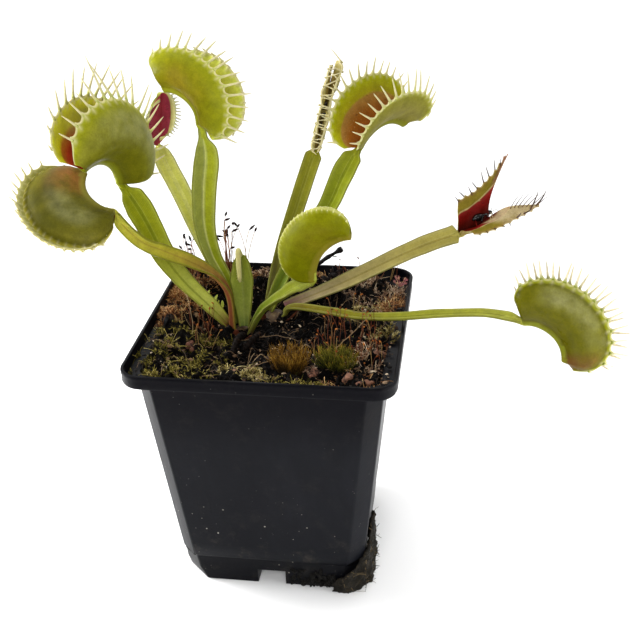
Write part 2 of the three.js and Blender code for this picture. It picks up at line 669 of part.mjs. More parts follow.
// A point of a lobe, its direction across the lobe and its way out. u runs along the midrib, v from the
// midrib (0) to the left margin (-1) or the right margin (1).
function lobePoint(neck, frame, trap, u, v) {
  const bend = rad(trap.bend);
  const radius = trap.length / bend;
  const turn = bend * u;
  const heading = frame.heading.clone().applyAxisAngle(frame.right, -turn);
  const open = frame.open.clone().applyAxisAngle(frame.right, -turn);
  const side = Math.sign(v);
  const share = Math.abs(v);
  const from = rad(pick(trap.root, side > 0));
  const change = rad(side < 0 ? trap.left : trap.right) - from;
  const angle = from + change * share;
  const rise = (Math.sin(angle) - Math.sin(from)) / change;
  const spread = (Math.cos(from) - Math.cos(angle)) / change;
  const width = lobeWidth(trap, u, side);
  const reach = lerp(-pick(trap.ears, false), pick(trap.ears, true), u);
  const point = neck.clone()
    .addScaledVector(frame.heading, radius * Math.sin(turn))
    .addScaledVector(frame.open, -radius * (1 - Math.cos(turn)))
    .addScaledVector(open, rise * width)
    .addScaledVector(frame.right, side * spread * width)
    .addScaledVector(heading, reach * share ** TRAP.earPower);
  const lean = angle + rad(trap.lean);
  const across = open.clone().multiplyScalar(Math.cos(lean));
  across.addScaledVector(frame.right, side * Math.sin(lean));
  const out = open.clone().multiplyScalar(side === 0 ? -1 : -Math.sin(angle));
  out.addScaledVector(frame.right, side * Math.cos(angle));
  return { point, across, out, heading };
}

// A three-sided tooth from the margin
function tooth(root, way, along, out, length) {
  const foot = root.clone().addScaledVector(way, -TOOTH.sunk);
  const ring = [
    foot.clone().addScaledVector(along, TOOTH.radius),
    foot.clone().addScaledVector(along, -TOOTH.radius),
    foot.clone().addScaledVector(out, TOOTH.radius * 0.75),
  ];
  const tip = root.clone().addScaledVector(way, length);
  return solid([...ring, tip], [[0, 1, 2], [0, 3, 1], [1, 3, 2], [2, 3, 0]]);
}

function trapLobes(neck, frame, trap) {
  const upper = [];
  const lower = [];
  for (let i = 0; i <= TRAP.lengthSteps; i += 1) {
    const u = i / TRAP.lengthSteps;
    const inner = [];
    const outer = [];
    for (let j = -TRAP.widthSteps; j <= TRAP.widthSteps; j += 1) {
      const v = j / TRAP.widthSteps;
      const { point, out } = lobePoint(neck, frame, trap, u, v);
      const share = Math.abs(v);
      const thickness = j === 0 ? TRAP.keel : lerp(TRAP.lobe, TRAP.margin, share);
      inner.push(point);
      outer.push(point.clone().addScaledVector(out, thickness));
    }
    upper.push(inner);
    lower.push(outer);
  }
  return sheet(upper, lower);
}

function trapTeeth(neck, frame, trap) {
  const teeth = [];
  for (const side of [-1, 1]) {
    for (let k = 0; k < trap.teeth; k += 1) {
      const stagger = side < 0 ? 0.25 : 0.75;
      const u = (k + stagger) / trap.teeth;
      const { point, across, out, heading } = lobePoint(neck, frame, trap, u, side);
      const fan = (2 * u - 1) * TOOTH.fan;
      const way = across.clone().addScaledVector(heading, fan).normalize();
      const along = heading.clone().addScaledVector(across, -fan).normalize();
      const length = trap.tooth * lerp(TOOTH.endShare, 1, Math.sin(Math.PI * u));
      teeth.push(tooth(point, way, along, out, length));
    }
  }
  return teeth;
}

function makeLeaf(name, leaf) {
  const neck = vec(leaf.path[leaf.path.length - 1]);
  const frame = trapFrame(leaf.trap);
  const petiole = blade(leaf.path, leaf.faces, leaf.blade);
  const lobes = trapLobes(neck, frame, leaf.trap);
  const below = neck.clone().addScaledVector(frame.open, -TRAP.keel / 2);
  const ends = [-BRIDGE.before, BRIDGE.after].map((far) => below.clone().addScaledVector(frame.heading, far));
  const bridge = tube(ends, BRIDGE.radius, BRIDGE.sides);
  const whole = joined([petiole, bridge, lobes, ...trapTeeth(neck, frame, leaf.trap)]);
  return named(name, toGeometry(mainBody(whole)), leaf.colour, 0.45);
}

function makeYoungLeaf() {
  const leafBlade = blade(YOUNG.path, YOUNG.faces, YOUNG.blade);
  const fold = new THREE.CatmullRomCurve3([YOUNG.path[3], ...YOUNG.bud].map(vec));
  const bud = tube(fold.getPoints(YOUNG.budSteps), YOUNG.budRadius, YOUNG.budSides);
  return named('leaf_young', toGeometry(mainBody(joined([leafBlade, bud]))), COLOURS.bright, 0.45);
}

// The low core that a tuft's spikes stand out of
function tuftCore([x, y], radius, height, ground) {
  return loft(TUFT_CORE.rises.map((rise) => {
    const reach = radius * Math.sqrt(1 - rise * rise);
    return Array.from({ length: TUFT_CORE.sides }, (_, k) => {
      const angle = k / TUFT_CORE.sides * 2 * Math.PI;
      return vec([x + reach * Math.cos(angle), y + reach * Math.sin(angle), ground + rise * height]);
    });
  }));
}

// A three-sided spike
function spike(root, way, length) {
  const along = way.clone().cross(vec([0.3, 0.9, 0.2])).normalize();
  const out = way.clone().cross(along);
  const foot = [0, 1, 2].map((corner) => {
    const turn = corner * 2 * Math.PI / 3;
    const point = root.clone().addScaledVector(along, SPIKE.radius * Math.cos(turn));
    return point.addScaledVector(out, SPIKE.radius * Math.sin(turn));
  });
  const tip = root.clone().addScaledVector(way, length);
  return solid([...foot, tip], [[0, 1, 2], [0, 3, 1], [1, 3, 2], [2, 3, 0]]);
}

function makeTuft(name, tuft) {
  const random = randomFrom(tuft.seed);
  const [x, y] = tuft.at;
  const ground = peatHighest(x, y, tuft.radius) + FIT_GAP;
  const coreHeight = tuft.height * TUFT_CORE.height;
  const spikes = Array.from({ length: tuft.spikes }, (_, k) => {
    const away = Math.sqrt((k + 0.5) / tuft.spikes);
    const angle = k * SPIKE.turn + random() * SPIKE.wobble;
    const lean = rad(tuft.spread) * away;
    const way = vec([Math.sin(lean), 0, Math.cos(lean)]).applyAxisAngle(UP, angle);
    const reach = away * tuft.radius * SPIKE.rootReach;
    const root = vec([x + Math.cos(angle) * reach, y + Math.sin(angle) * reach, ground + coreHeight / 2]);
    return spike(root, way, tuft.height * (SPIKE.shortest + SPIKE.longer * random()));
  });
  const core = tuftCore(tuft.at, tuft.radius, coreHeight, ground);
  return named(name, toGeometry(mainBody(joined([core, ...spikes]))), tuft.colour, 0.9);
}

function peatHighest(x, y, reach) {
  const shifts = [-1, -0.75, -0.5, -0.25, 0, 0.25, 0.5, 0.75, 1].map((share) => share * reach);
  return Math.max(...shifts.flatMap((dx) => shifts.map((dy) => peatHeight(x + dx, y + dy))));
}

const plant = new THREE.Group();
plant.add(makePot(), makePeat(), makeRhizome(), makeTwig(), makeMud(), makeInsect());
plant.add(...Object.entries(LEAVES).map(([name, leaf]) => makeLeaf(name, leaf)));
plant.add(makeYoungLeaf());
plant.add(...Object.entries(TUFTS).map(([name, tuft]) => makeTuft(name, tuft)));

export default plant;
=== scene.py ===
# The looks of a potted venus flytrap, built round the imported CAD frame.
# Sizes and places are in millimetres in the model's frame (+Z up, +Y the back of the pot) and become
# metres when a piece's mesh is made. Colours are written as the 0 to 255 values seen on screen.

import math

import bmesh
import bpy
import numpy as np
from mathutils import Matrix, Vector


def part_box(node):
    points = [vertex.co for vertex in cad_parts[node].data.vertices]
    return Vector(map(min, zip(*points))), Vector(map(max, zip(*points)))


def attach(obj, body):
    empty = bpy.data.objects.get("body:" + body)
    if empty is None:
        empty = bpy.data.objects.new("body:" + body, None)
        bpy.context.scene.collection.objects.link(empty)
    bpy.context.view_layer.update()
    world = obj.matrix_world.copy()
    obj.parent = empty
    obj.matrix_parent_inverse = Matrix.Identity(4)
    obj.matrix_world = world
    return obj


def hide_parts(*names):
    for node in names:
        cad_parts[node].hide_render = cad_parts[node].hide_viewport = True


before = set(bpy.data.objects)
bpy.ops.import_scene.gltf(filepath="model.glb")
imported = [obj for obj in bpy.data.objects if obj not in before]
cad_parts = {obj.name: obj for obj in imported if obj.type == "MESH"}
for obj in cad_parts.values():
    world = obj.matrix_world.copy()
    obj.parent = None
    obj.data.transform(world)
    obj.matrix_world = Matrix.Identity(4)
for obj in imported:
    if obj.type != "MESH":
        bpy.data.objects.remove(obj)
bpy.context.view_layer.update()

MM = 0.001
GOLDEN_ANGLE = math.radians(137.5)
LEAF_SEED = 100
MOSS_SEED = 60

# The photograph's viewpoint
VIEW = {
    "azimuth": 8.73,
    "elevation": 27.31,
    "roll": -1.65,
    "distance": 428.22,
    "target": (7.61, 38.04, 73.17),
    "field": 31.6,
}

# The pot, with the model's driving values; the bow of its walls and its soft edges are the scene's
POT = {
    "side": 90,
    "height": 91.5,
    "rim_height": 5,
    "rim_radius": 8,
    "lip": 1.4,
    "wall": 1.3,
    "shoulder_half": 40.7,
    "wall_foot_half": 32.9,
    "chamfer": 5.4,
    "foot_height": 11.3,
    "foot_half": 31.9,
    "foot_draft": 0.4,
    "foot_chamfer": 8.5,
    "floor": 1.4,
    "notch_width": 10,
    "notch_height": 6.2,
    "notch_depth": 8,
    "drain_hole": 5,
    "drain_shift": 0.5,
    "bow": 0.35,
    "soft_edge": 0.25,
}
SHELF = POT["height"] - POT["rim_height"] + POT["wall"]

# The peat's waves and hollow are the model's; the swell lifts its edges under the moss
PEAT = {
    "top": 84,
    "relief": 1.3,
    "half": 39.1,
    "hollow_depth": 4.5,
    "hollow_radius": 17,
    "swell_left": 3.6,
    "swell_right": 1.6,
    "swell_from": 24,
}
CROWN_Z = 82.6
CROWNS = [(-15, 8.6), (-4.6, 22.2)]
BULB = {"radius": 5.2, "height": 4.6, "neck": 3.4}
ROOT = {"radius": 0.8, "length": 34, "knee_place": 0.75, "knee_depth": 0.4}
ROOT_FOOTS = [(-25, -2), (-14, 20), (-2, 8), (8, 26), (-12, 34)]
TWIG = {
    "path": [(-1, 34, 79), (2.5, 35.5, 86), (9.6, 38, 94.9), (18.3, 38, 101.3)],
    "side": [(12, 38, 97), (14, 38.6, 98), (16.5, 39.4, 97.4)],
    "radius": 0.9,
    "side_radius": 0.35,
}
# Rings of a lumpy ball, points in each, and the angle at which it is cut flat by its poles
BALL = {"rings": 9, "points": 12, "cap": 0.12}


def unit(v):
    v = np.asarray(v, float)
    return v / np.linalg.norm(v, axis=-1, keepdims=True)


def lerp(a, b, t):
    return a + (b - a) * t


def smoothstep(low, high, x):
    t = np.clip((np.asarray(x, float) - low) / (high - low), 0, 1)
    return t * t * (3 - 2 * t)


def screen(colour):
    """Linear colour from a colour as seen on screen."""
    c = np.array(colour, float) / 255
    linear = np.where(c <= 0.04045, c / 12.92, ((c + 0.055) / 1.055) ** 2.4)
    return tuple(float(x) for x in linear) + (1.0,)


def cloud(points, size, seed):
    """Smooth noise from -1 to 1 at the points, with swells about size across."""
    table = np.random.default_rng(seed).uniform(-1, 1, (32, 32, 32))
    place = np.asarray(points, float) / size
    low = np.floor(place).astype(int)
    t = place - low
    t = t * t * (3 - 2 * t)
    total = 0
    for corner in np.ndindex(2, 2, 2):
        weight = np.prod(np.where(corner, t, 1 - t), -1)
        cell = (low + corner) % 32
        total = total + weight * table[cell[..., 0], cell[..., 1], cell[..., 2]]
    return total


# Meshes


class Form:
    """A piece being made: points, faces with the number of their finish, and a guide for its colours."""

    def __init__(self):
        self.points = []
        self.faces = []
        self.finishes = []
        self.guides = []
        self.count = 0

    def add(self, points, faces, finish=0, guide=(0, 0, 0)):
        """Adds a body; faces and finish may each be lists that match."""
        points = np.asarray(points, float).reshape(-1, 3)
        faces = faces if isinstance(faces, list) else [faces]
        finish = finish if isinstance(finish, list) else [finish] * len(faces)
        for part, kind in zip(faces, finish):
            part = np.asarray(part, int)
            self.faces.append(part + self.count)
            self.finishes.append(np.full(len(part), kind))
        self.points.append(points)
        self.guides.append(np.broadcast_to(np.asarray(guide, float).reshape(-1, 3), points.shape))
        self.count += len(points)

    def make(self, name, materials, replaces=(), sharp=None):
        mesh = bpy.data.meshes.new(name)
        points = np.concatenate(self.points) * MM
        loops = np.concatenate([part.ravel() for part in self.faces])
        sizes = np.concatenate([np.full(len(part), part.shape[1]) for part in self.faces])
        starts = np.concatenate([[0], np.cumsum(sizes)[:-1]])
        mesh.vertices.add(len(points))
        mesh.vertices.foreach_set("co", points.astype(np.float32).ravel())
        mesh.loops.add(len(loops))
        mesh.loops.foreach_set("vertex_index", loops.astype(np.int32))
        mesh.polygons.add(len(sizes))
        mesh.polygons.foreach_set("loop_start", starts.astype(np.int32))
        mesh.polygons.foreach_set("material_index", np.concatenate(self.finishes).astype(np.int32))
        mesh.update(calc_edges=True)
        guide = mesh.attributes.new("guide", "FLOAT_VECTOR", "POINT")
        guide.data.foreach_set("vector", np.concatenate(self.guides).astype(np.float32).ravel())
        face_out(mesh)
        mesh.shade_smooth()
        if sharp is not None:
            mesh.set_sharp_from_angle(angle=math.radians(sharp))
        piece = bpy.data.objects.new(name, mesh)
        bpy.context.scene.collection.objects.link(piece)
        return dressed(piece, materials, replaces)


def face_out(mesh):
    """Turns every closed body's faces outward."""
    edit = bmesh.new()
    edit.from_mesh(mesh)
    bmesh.ops.recalc_face_normals(edit, faces=edit.faces)
    edit.to_mesh(mesh)
    edit.free()


def dressed(piece, materials, replaces):
    for material in materials:
        piece.data.materials.append(material)
    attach(piece, "root")
    if replaces:
        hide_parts(*replaces)
    return piece


def skin(rings):
    """Quads between rings of the same number of points."""
    stations, count = rings.shape[:2]
    ids = np.arange(stations * count).reshape(stations, count)
    near, far = ids[:-1], ids[1:]
    quads = np.stack([near, np.roll(near, -1, 1), np.roll(far, -1, 1), far], -1)
    return ids, quads.reshape(-1, 4)


def round_body(rings):
    """Closed body through rings, with a point in the middle of each end."""
    ids, quads = skin(rings)
    caps = []
    for k, ring in enumerate((ids[0], ids[-1])):
        caps.append(np.stack([ring, np.roll(ring, -1), np.full(len(ring), ids.size + k)], -1))
    points = np.concatenate([rings.reshape(-1, 3), rings[[0, -1]].mean(1)])
    return points, [quads, np.concatenate(caps)]


def flat_body(rings):
    """Closed body through flat rings that start at one edge and turn back half way round."""
    ids, quads = skin(rings)
    count = rings.shape[1]
    half = count // 2
    i = np.arange(1, half - 1)
    end_quads = []
    end_triangles = []
    for ring in (ids[0], ids[-1]):
        end_quads.append(np.stack([ring[i], ring[i + 1], ring[count - i - 1], ring[count - i]], -1))
        end_triangles.append([ring[0], ring[1], ring[-1]])
        end_triangles.append([ring[half - 1], ring[half], ring[half + 1]])
    return rings.reshape(-1, 3), [quads, np.concatenate(end_quads), np.array(end_triangles)]


def shell_edge(face, way, side, thick, degrees):
    """Points on a shell's half round edge, from 0 degrees on one face to 180 on the other."""
    turn = math.radians(degrees)
    lift = thick * (0.5 - 0.5 * math.cos(turn))
    beyond = thick * 0.5 * math.sin(turn)
    return (face + way * lift + side * beyond)[:, None]


def shell_rings(face, back, left, right, degrees):
    """Rings round a thin shell: the left edge, its face, the right edge and its back."""
    rings = [shell_edge(*left, 90), shell_edge(*left, degrees), face]
    rings += [shell_edge(*right, turn) for turn in (degrees, 90, 180 - degrees)]
    rings += [back[:, ::-1], shell_edge(*left, 180 - degrees)]
    return np.concatenate(rings, 1)


def shell_places(v):
    """Place across the shell, from -1 to 1, of each point of its rings."""
    return np.concatenate([[-1, -1], v, [1, 1, 1], v[::-1], [-1]])


def frames_along(path):
    """Side and up of a path, turned as little as possible from point to point."""
    heading = unit(np.gradient(path, axis=0))
    side = np.zeros_like(heading)
    side[0] = unit(np.cross(heading[0], (0, 0, 1) if abs(heading[0][2]) < 0.9 else (1, 0, 0)))
    for i in range(1, len(path)):
        side[i] = unit(side[i - 1] - heading[i] * np.dot(side[i - 1], heading[i]))
    return side, np.cross(heading, side)


def tube(path, radii, sides=6, flatten=1.0):
    path = np.asarray(path, float)
    radii = np.broadcast_to(np.asarray(radii, float), (len(path),))
    side, up = frames_along(path)
    turn = np.arange(sides) / sides * 2 * math.pi
    across = side[:, None] * np.cos(turn)[:, None] + flatten * up[:, None] * np.sin(turn)[:, None]
    return round_body(path[:, None] + radii[:, None, None] * across)


def along_tube(t, sides):
    """Guide points of a tube, whose second value runs from 0 at its root to 1 at its tip."""
    share = np.concatenate([np.repeat(t, sides), [t[0], t[-1]]])
    return np.stack([np.zeros_like(share), share, np.zeros_like(share)], -1)


def blob(centre, radii, seed, rough, size=0.8, turn=None):
    """A lumpy rounded body."""
    radii = np.asarray(radii, float)
    polar = np.linspace(BALL["cap"], math.pi - BALL["cap"], BALL["rings"])
    turns = np.arange(BALL["points"]) / BALL["points"] * 2 * math.pi
    ball = np.stack([
        np.sin(polar)[:, None] * np.cos(turns),
        np.sin(polar)[:, None] * np.sin(turns),
        np.cos(polar)[:, None] + 0 * turns,
    ], -1)
    ball = ball * (1 + rough * cloud(ball + seed, size, seed))[..., None] * radii
    if turn is not None:
        ball = ball @ np.asarray(turn).T
    return round_body(ball + centre)


def catmull(points, u):
    """Point on the same kind of curve as the model's paths."""
    points = np.asarray(points, float)
    padded = np.vstack([2 * points[0] - points[1], points, 2 * points[-1] - points[-2]])
    place = np.clip(np.asarray(u, float), 0, 1) * (len(points) - 1)
    i = np.minimum(place.astype(int), len(points) - 2)
    t = (place - i)[..., None]
    a, b, c, d = (padded[i + k] for k in range(4))
    return 0.5 * (2 * b + (c - a) * t + (2 * a - 5 * b + 4 * c - d) * t**2 + (3 * (b - c) + d - a) * t**3)


def spikes(form, roots, ways, lengths, radii, droop=0.0, finish=0, tone=0.0):
    """Many three-sided spikes, each bent down by droop times its length."""
    roots, ways = np.asarray(roots, float), unit(ways)
    count = len(roots)
    lengths = np.broadcast_to(np.asarray(lengths, float), (count,))[:, None]
    radii = np.broadcast_to(np.asarray(radii, float), (count,))[:, None]
    droop = np.broadcast_to(np.asarray(droop, float), (count,))[:, None]
    helper = np.where(np.abs(ways[:, 2:3]) < 0.9, [[0, 0, 1.0]], [[1.0, 0, 0]])
    along = unit(np.cross(ways, helper))
    out = np.cross(ways, along)
    fall = np.array([0, 0, -1.0])
    tip = roots + ways * lengths + fall * lengths * droop
    rings = []
    for k in range(3):
        turn = k * 2 * math.pi / 3
        rings.append(roots + radii * (along * math.cos(turn) + out * math.sin(turn)))
    points = np.stack(rings + [tip], 1)
    base = (np.arange(count) * 4)[:, None, None]
    faces = (base + np.array([[0, 2, 1], [0, 1, 3], [1, 2, 3], [2, 0, 3]])).reshape(-1, 3)
    guide = np.zeros((count, 4, 3))
    guide[..., 0] = np.broadcast_to(np.asarray(tone, float), (count,))[:, None]
    guide[:, 3, 1] = 1
    form.add(points, faces, finish, guide)


# Materials


class Paint:
    """A node material, put together one node at a time."""

    def __init__(self, name, **surface):
        self.material = bpy.data.materials.new(name)
        self.material.use_nodes = True
        self.nodes = self.material.node_tree.nodes
        self.links = self.material.node_tree.links
        self.surface = self.nodes["Principled BSDF"]
        self.place = self.nodes.new("ShaderNodeTexCoord").outputs["Object"]
        for key, value in surface.items():
            self.surface.inputs[key.replace("_", " ")].default_value = value

    def node(self, kind, inputs=(), **settings):
        made = self.nodes.new(kind)
        for key, value in settings.items():
            setattr(made, key, value)
        for key, value in dict(inputs).items():
            self.feed(made.inputs[key], value)
        return made

    def feed(self, socket, value):
        if isinstance(value, bpy.types.NodeSocket):
            self.links.new(value, socket)
        else:
            socket.default_value = value

    def guide(self):
        source = self.node("ShaderNodeAttribute", attribute_name="guide")
        return self.node("ShaderNodeSeparateXYZ", {0: source.outputs["Vector"]}).outputs

    def math(self, operation, a, b=0.0):
        return self.node("ShaderNodeMath", {0: a, 1: b}, operation=operation).outputs[0]

    def times(self, *values):
        product = values[0]
        for value in values[1:]:
            product = self.math("MULTIPLY", product, value)
        return product

    def plus(self, a, b):
        return self.math("ADD", a, b)

    def noise(self, scale, detail=3.0, roughness=0.55, stretch=None):
        """Cloudy noise, where scale is the number of spots in a metre."""
        place = self.place
        if stretch:
            place = self.node("ShaderNodeMapping", {"Vector": place, "Scale": stretch}).outputs[0]
        inputs = {"Vector": place, "Scale": scale, "Detail": detail, "Roughness": roughness}
        return self.node("ShaderNodeTexNoise", inputs).outputs["Fac"]

    def cells(self, scale):
        return self.node("ShaderNodeTexVoronoi", {"Vector": self.place, "Scale": scale}).outputs["Distance"]

    def span(self, value, low, high, start=0.0, end=1.0):
        """Eases from start, where value is low, to end, where value is high."""
        if low > high:
            low, high, start, end = high, low, end, start
        inputs = {0: value, 1: low, 2: high, 3: start, 4: end}
        return self.node("ShaderNodeMapRange", inputs, interpolation_type="SMOOTHSTEP").outputs[0]

    def ramp(self, value, stops):
        """Colour at value, from pairs of place and screen colour in rising order."""
        made = self.node("ShaderNodeValToRGB", {0: value})
        elements = made.color_ramp.elements
        elements.remove(elements[1])
        elements[0].position = stops[0][0]
        elements[0].color = screen(stops[0][1])
        for place, colour in stops[1:]:
            elements.new(place).color = screen(colour)
        return made.outputs[0]

    def mix(self, share, a, b, blend="MIX"):
        inputs = {0: share, 6: a if isinstance(a, bpy.types.NodeSocket) else screen(a),
                  7: b if isinstance(b, bpy.types.NodeSocket) else screen(b)}
        return self.node("ShaderNodeMix", inputs, data_type="RGBA", blend_type=blend).outputs[2]

    def cover(self, body, area, share, colour):
        """Lays a colour over the body, with the given share of it where the area is 1."""
        return self.mix(self.times(area, share), body, colour)

    def mottle(self, body, amount, scale, detail=5.0):
        """Light and dark clouds over a colour."""
        grey = self.ramp(self.noise(scale, detail, 0.62), [(0.3, (120, 122, 124)), (0.7, (252, 252, 248))])
        return self.mix(amount, body, grey, "MULTIPLY")

    def colour(self, value):
        self.feed(self.surface.inputs["Base Color"], value)

    def rough(self, value):
        self.feed(self.surface.inputs["Roughness"], value)

    def bump(self, height, distance, strength=1.0):
        """Relief whose full height is distance, in millimetres."""
        inputs = {"Height": height, "Distance": distance * MM, "Strength": strength}
        self.feed(self.surface.inputs["Normal"], self.node("ShaderNodeBump", inputs).outputs[0])


def clouded(name, noise, stops, rough, relief=(), **surface):
    """A simple material: a noise picks its colour, and relief is another noise and its height."""
    paint = Paint(name, **surface)
    paint.colour(paint.ramp(paint.noise(*noise), stops))
    paint.rough(rough)
    if relief:
        paint.bump(paint.noise(*relief[:-1]), relief[-1])
    return paint.material


def toned(name, stops, mottle, **surface):
    """A material whose colour follows the guide's first value, with mottling on top."""
    paint = Paint(name, **surface)
    tone, shine, _ = paint.guide()
    paint.colour(paint.mottle(paint.ramp(tone, stops), *mottle))
    return paint, shine


def leaf_surface(name, **more):
    """Living leaf tissue: a satin skin that lets a little light through."""
    values = {
        "Subsurface_Weight": 0.12,
        "Subsurface_Scale": 0.0006,
        "Subsurface_Radius": (1.0, 0.9, 0.4),
        "Specular_IOR_Level": 0.08,
    }
    values.update(more)
    return Paint(name, **values)


def petiole_paint(name, look):
    """A leaf stalk: its colour changes from its base to its top and from its middle to its edges; the edges
    are partly lighter from a painted highlight, with a thin line of painted shade at the rim.
    """
    paint = leaf_surface(name)
    along, across, under = paint.guide()
    wide = paint.math("ABSOLUTE", across)
    places = {"base": 0.0, "low": look.get("blush", 0.16), "mid": 0.55, "top": 0.97}
    body = paint.ramp(along, [(place, look[key]) for key, place in places.items()])
    # Lighter towards the edges: partly the wings' own paler colour, partly a painted highlight along them.
    body = paint.cover(body, paint.span(wide, 0.6, 1.0), 0.45, look["edge"])
    channel_share = look.get("channel_share", 0.5)
    body = paint.cover(body, paint.span(wide, 0.2, 0.06), channel_share, look["channel"])
    ridge = paint.span(wide, 0.1, 0.17), paint.span(wide, 0.26, 0.19), paint.span(along, 0.25, 0.6)
    body = paint.cover(body, paint.times(*ridge), look.get("ridge_share", 0.35), look["edge"])
    if "left" in look:
        half = paint.times(paint.span(across, 0.04, -0.04), paint.span(wide, 1.0, 0.9))
        body = paint.cover(body, half, 0.7, look["left"])
    line = paint.times(paint.span(wide, 0.86, 0.93), paint.span(wide, 0.975, 0.95))
    body = paint.cover(body, line, 0.4, look["edge"])
    fibre = paint.node("ShaderNodeCombineXYZ", {0: across, 1: paint.times(along, 0.35)}).outputs[0]
    inputs = {"Vector": fibre, "Scale": 2.6, "Distortion": 2.2, "Detail": 2.0, "Detail Scale": 1.6}
    lines = paint.node("ShaderNodeTexWave", inputs, bands_direction="X").outputs["Fac"]
    grey = paint.ramp(lines, [(0.2, (196, 200, 190)), (0.8, (255, 255, 255))])
    body = paint.mix(0.3, body, grey, "MULTIPLY")
    body = paint.mottle(body, 0.35, 260)
    body = paint.mottle(body, 0.28, 1500, 3)
    # A thin dark line along the very edge: painted shade of the stalk's silhouette.
    body = paint.cover(body, paint.span(wide, 0.975, 0.995), 0.6, EDGE_SHADE)
    body = paint.cover(body, under, 0.35, look.get("under", look["low"]))
    spots = paint.span(paint.noise(1500, 4, 0.7), 0.6, 0.7)
    body = paint.cover(body, spots, look.get("spots", 0.12), SPOT_BROWN)
    paint.colour(body)
    paint.rough(paint.span(paint.noise(300), 0.2, 0.8, 0.34, 0.5))
    paint.bump(paint.plus(paint.times(lines, 0.6), paint.noise(1800)), 0.12, 0.6)
    return paint.material


def spot_share(paint, spot, along, across, wide):
    """Where a coloured area lies on a lobe, some areas being painted highlights: it rises and falls along u
    and fades towards the second v.
    """
    u = spot["u"]
    reach = paint.times(paint.span(along, u[0], u[1]), paint.span(along, u[3], u[2]))
    area = paint.times(reach, paint.span(wide, spot["v"][1], spot["v"][0]))
    if "v_from" in spot:
        area = paint.times(area, paint.span(wide, *spot["v_from"]))
    if "side" in spot:
        area = paint.times(area, paint.math("GREATER_THAN", paint.times(across, float(spot["side"])), 0.0))
    clouds = paint.span(paint.noise(spot.get("scale", 170)), 0.3, 0.6, 0.4, 1.0)
    return paint.times(area, clouds, spot["share"])


def lobe_paint(name, stops, look, inside=False):
    """A trap's lobe: bands from the midrib to the margin, coloured areas and mottling; some bands carry
    painted shade or painted light, and some areas are painted highlights.
    """
    paint = leaf_surface(name, Specular_IOR_Level=look.get("gloss", 0.08))
    along, across, extra = paint.guide()
    wide = paint.math("ABSOLUTE", across)
    wobble = paint.times(paint.math("SUBTRACT", paint.noise(190, 4), 0.5), look.get("wobble", 0.1))
    body = paint.ramp(paint.plus(wide, wobble), stops)
    # Each area is the lobe's own colour or a painted highlight, as its leaf's list says.
    for spot in look.get("spots", ()):
        body = paint.mix(spot_share(paint, spot, along, across, wide), body, spot["colour"])
    body = paint.mottle(body, look.get("mottle", 0.4), 330)
    body = paint.mottle(body, 0.26, 1900, 3)
    freckle = paint.span(paint.noise(2200, 3, 0.6), 0.6, 0.72)
    body = paint.cover(body, freckle, look.get("freckle", 0.1), look.get("dot", (70, 75, 15)))
    if not inside:
        rib = paint.times(extra, paint.span(wide, 0.5, 0.45))
        body = paint.cover(body, rib, 0.75, look["rib"])
    line = paint.times(paint.math("POWER", extra, 3.0), paint.span(wide, 0.86, 0.97))
    rim = paint.span(wide, 0.955, 0.995)
    cream = paint.math("MAXIMUM", line, rim)
    body = paint.cover(body, cream, look.get("cream", 0.75), look["cilia"])
    paint.colour(body)
    paint.rough(paint.span(paint.noise(300), 0.2, 0.8, *look.get("rough", (0.3, 0.42))))
    height = paint.times(paint.cells(2300 if inside else 1500), -0.5)
    paint.bump(paint.plus(height, paint.noise(700, 4)), 0.14, 0.5)
    return paint.material


def cilia_paint(name, low, high):
    paint = leaf_surface(name, Subsurface_Weight=0.1)
    _, share, _ = paint.guide()
    body = paint.ramp(share, [(0.0, low), (0.3, high), (1.0, high)])
    paint.colour(paint.mottle(body, 0.25, 900))
    paint.rough(0.42)
    return paint.material


# Leaves. The paths and blades are the model's. A path's points go from the crown to the trap; a blade's
# keys are place, left half, right half and fold in degrees; pairs are for the left and right lobe, and
# a trap's ends and ears have the start and end of the left lobe, then of the right.

NO_SWING = ([(0, 0), (1, 0)],) * 2
TRAP = {"keel": 1.9, "rib": 1.15, "lobe": 0.85, "margin": 0.6, "power": 2.3, "ear_power": 1.5}
BLADE = {"keel": 1.5, "edge": 0.75}

# What only the fine pieces have. A lobe: its columns from midrib to margin and how they crowd, its steps
# from tooth to tooth, the band at the margin that is arched, and how far the end bristles fan out
LOBE = {"columns": 25, "crowd": 0.08, "per_tooth": 8, "band": 0.14, "arch": 2.2, "arch_low": 0.3,
        "belly": 0.9, "rumple": 0.12, "rounded": 0.03, "fan": 0.55}
# A bristle: how deep it is sunk, its thickness with what each millimetre of length adds, and its tip
BRISTLE = {"sunk": 0.9, "thick": 0.22, "per_length": 0.035, "thickest": 0.4, "taper": 0.55, "tip": 0.08,
           "foot": 0.3, "sides": 6}
# A trigger hair: its length, thickness and bend, and the places of the three on a lobe
TRIGGER = {"length": 2.1, "thick": 0.16, "tip": 0.05, "bend": 0.3,
           "places": ((0.3, 0.45), (0.5, 0.62), (0.7, 0.45))}
# A blade's mesh and relief: waves at its edges, the hollow of each half, the channel and the ridges
# beside it, which are full from a certain half width on
STALK = {"stations": 80, "columns": 23, "wave": 0.16, "cup": 0.3, "channel": 0.26, "channel_width": 0.13,
         "ridge": 0.1, "ridge_at": 0.2, "ridge_width": 0.08, "full_half": 3}
NECK_RADIUS = 0.95
# Numbers of a leaf's finishes
BLADE_SKIN, OUTSIDE, INSIDE, CILIA, REMAINS = range(5)

# Colour of the painted shade along a leaf stalk's very edge
EDGE_SHADE = (84, 84, 22)
SPOT_BROWN = (96, 62, 28)
WEB = (176, 184, 84)
CREAM = (212, 204, 156)

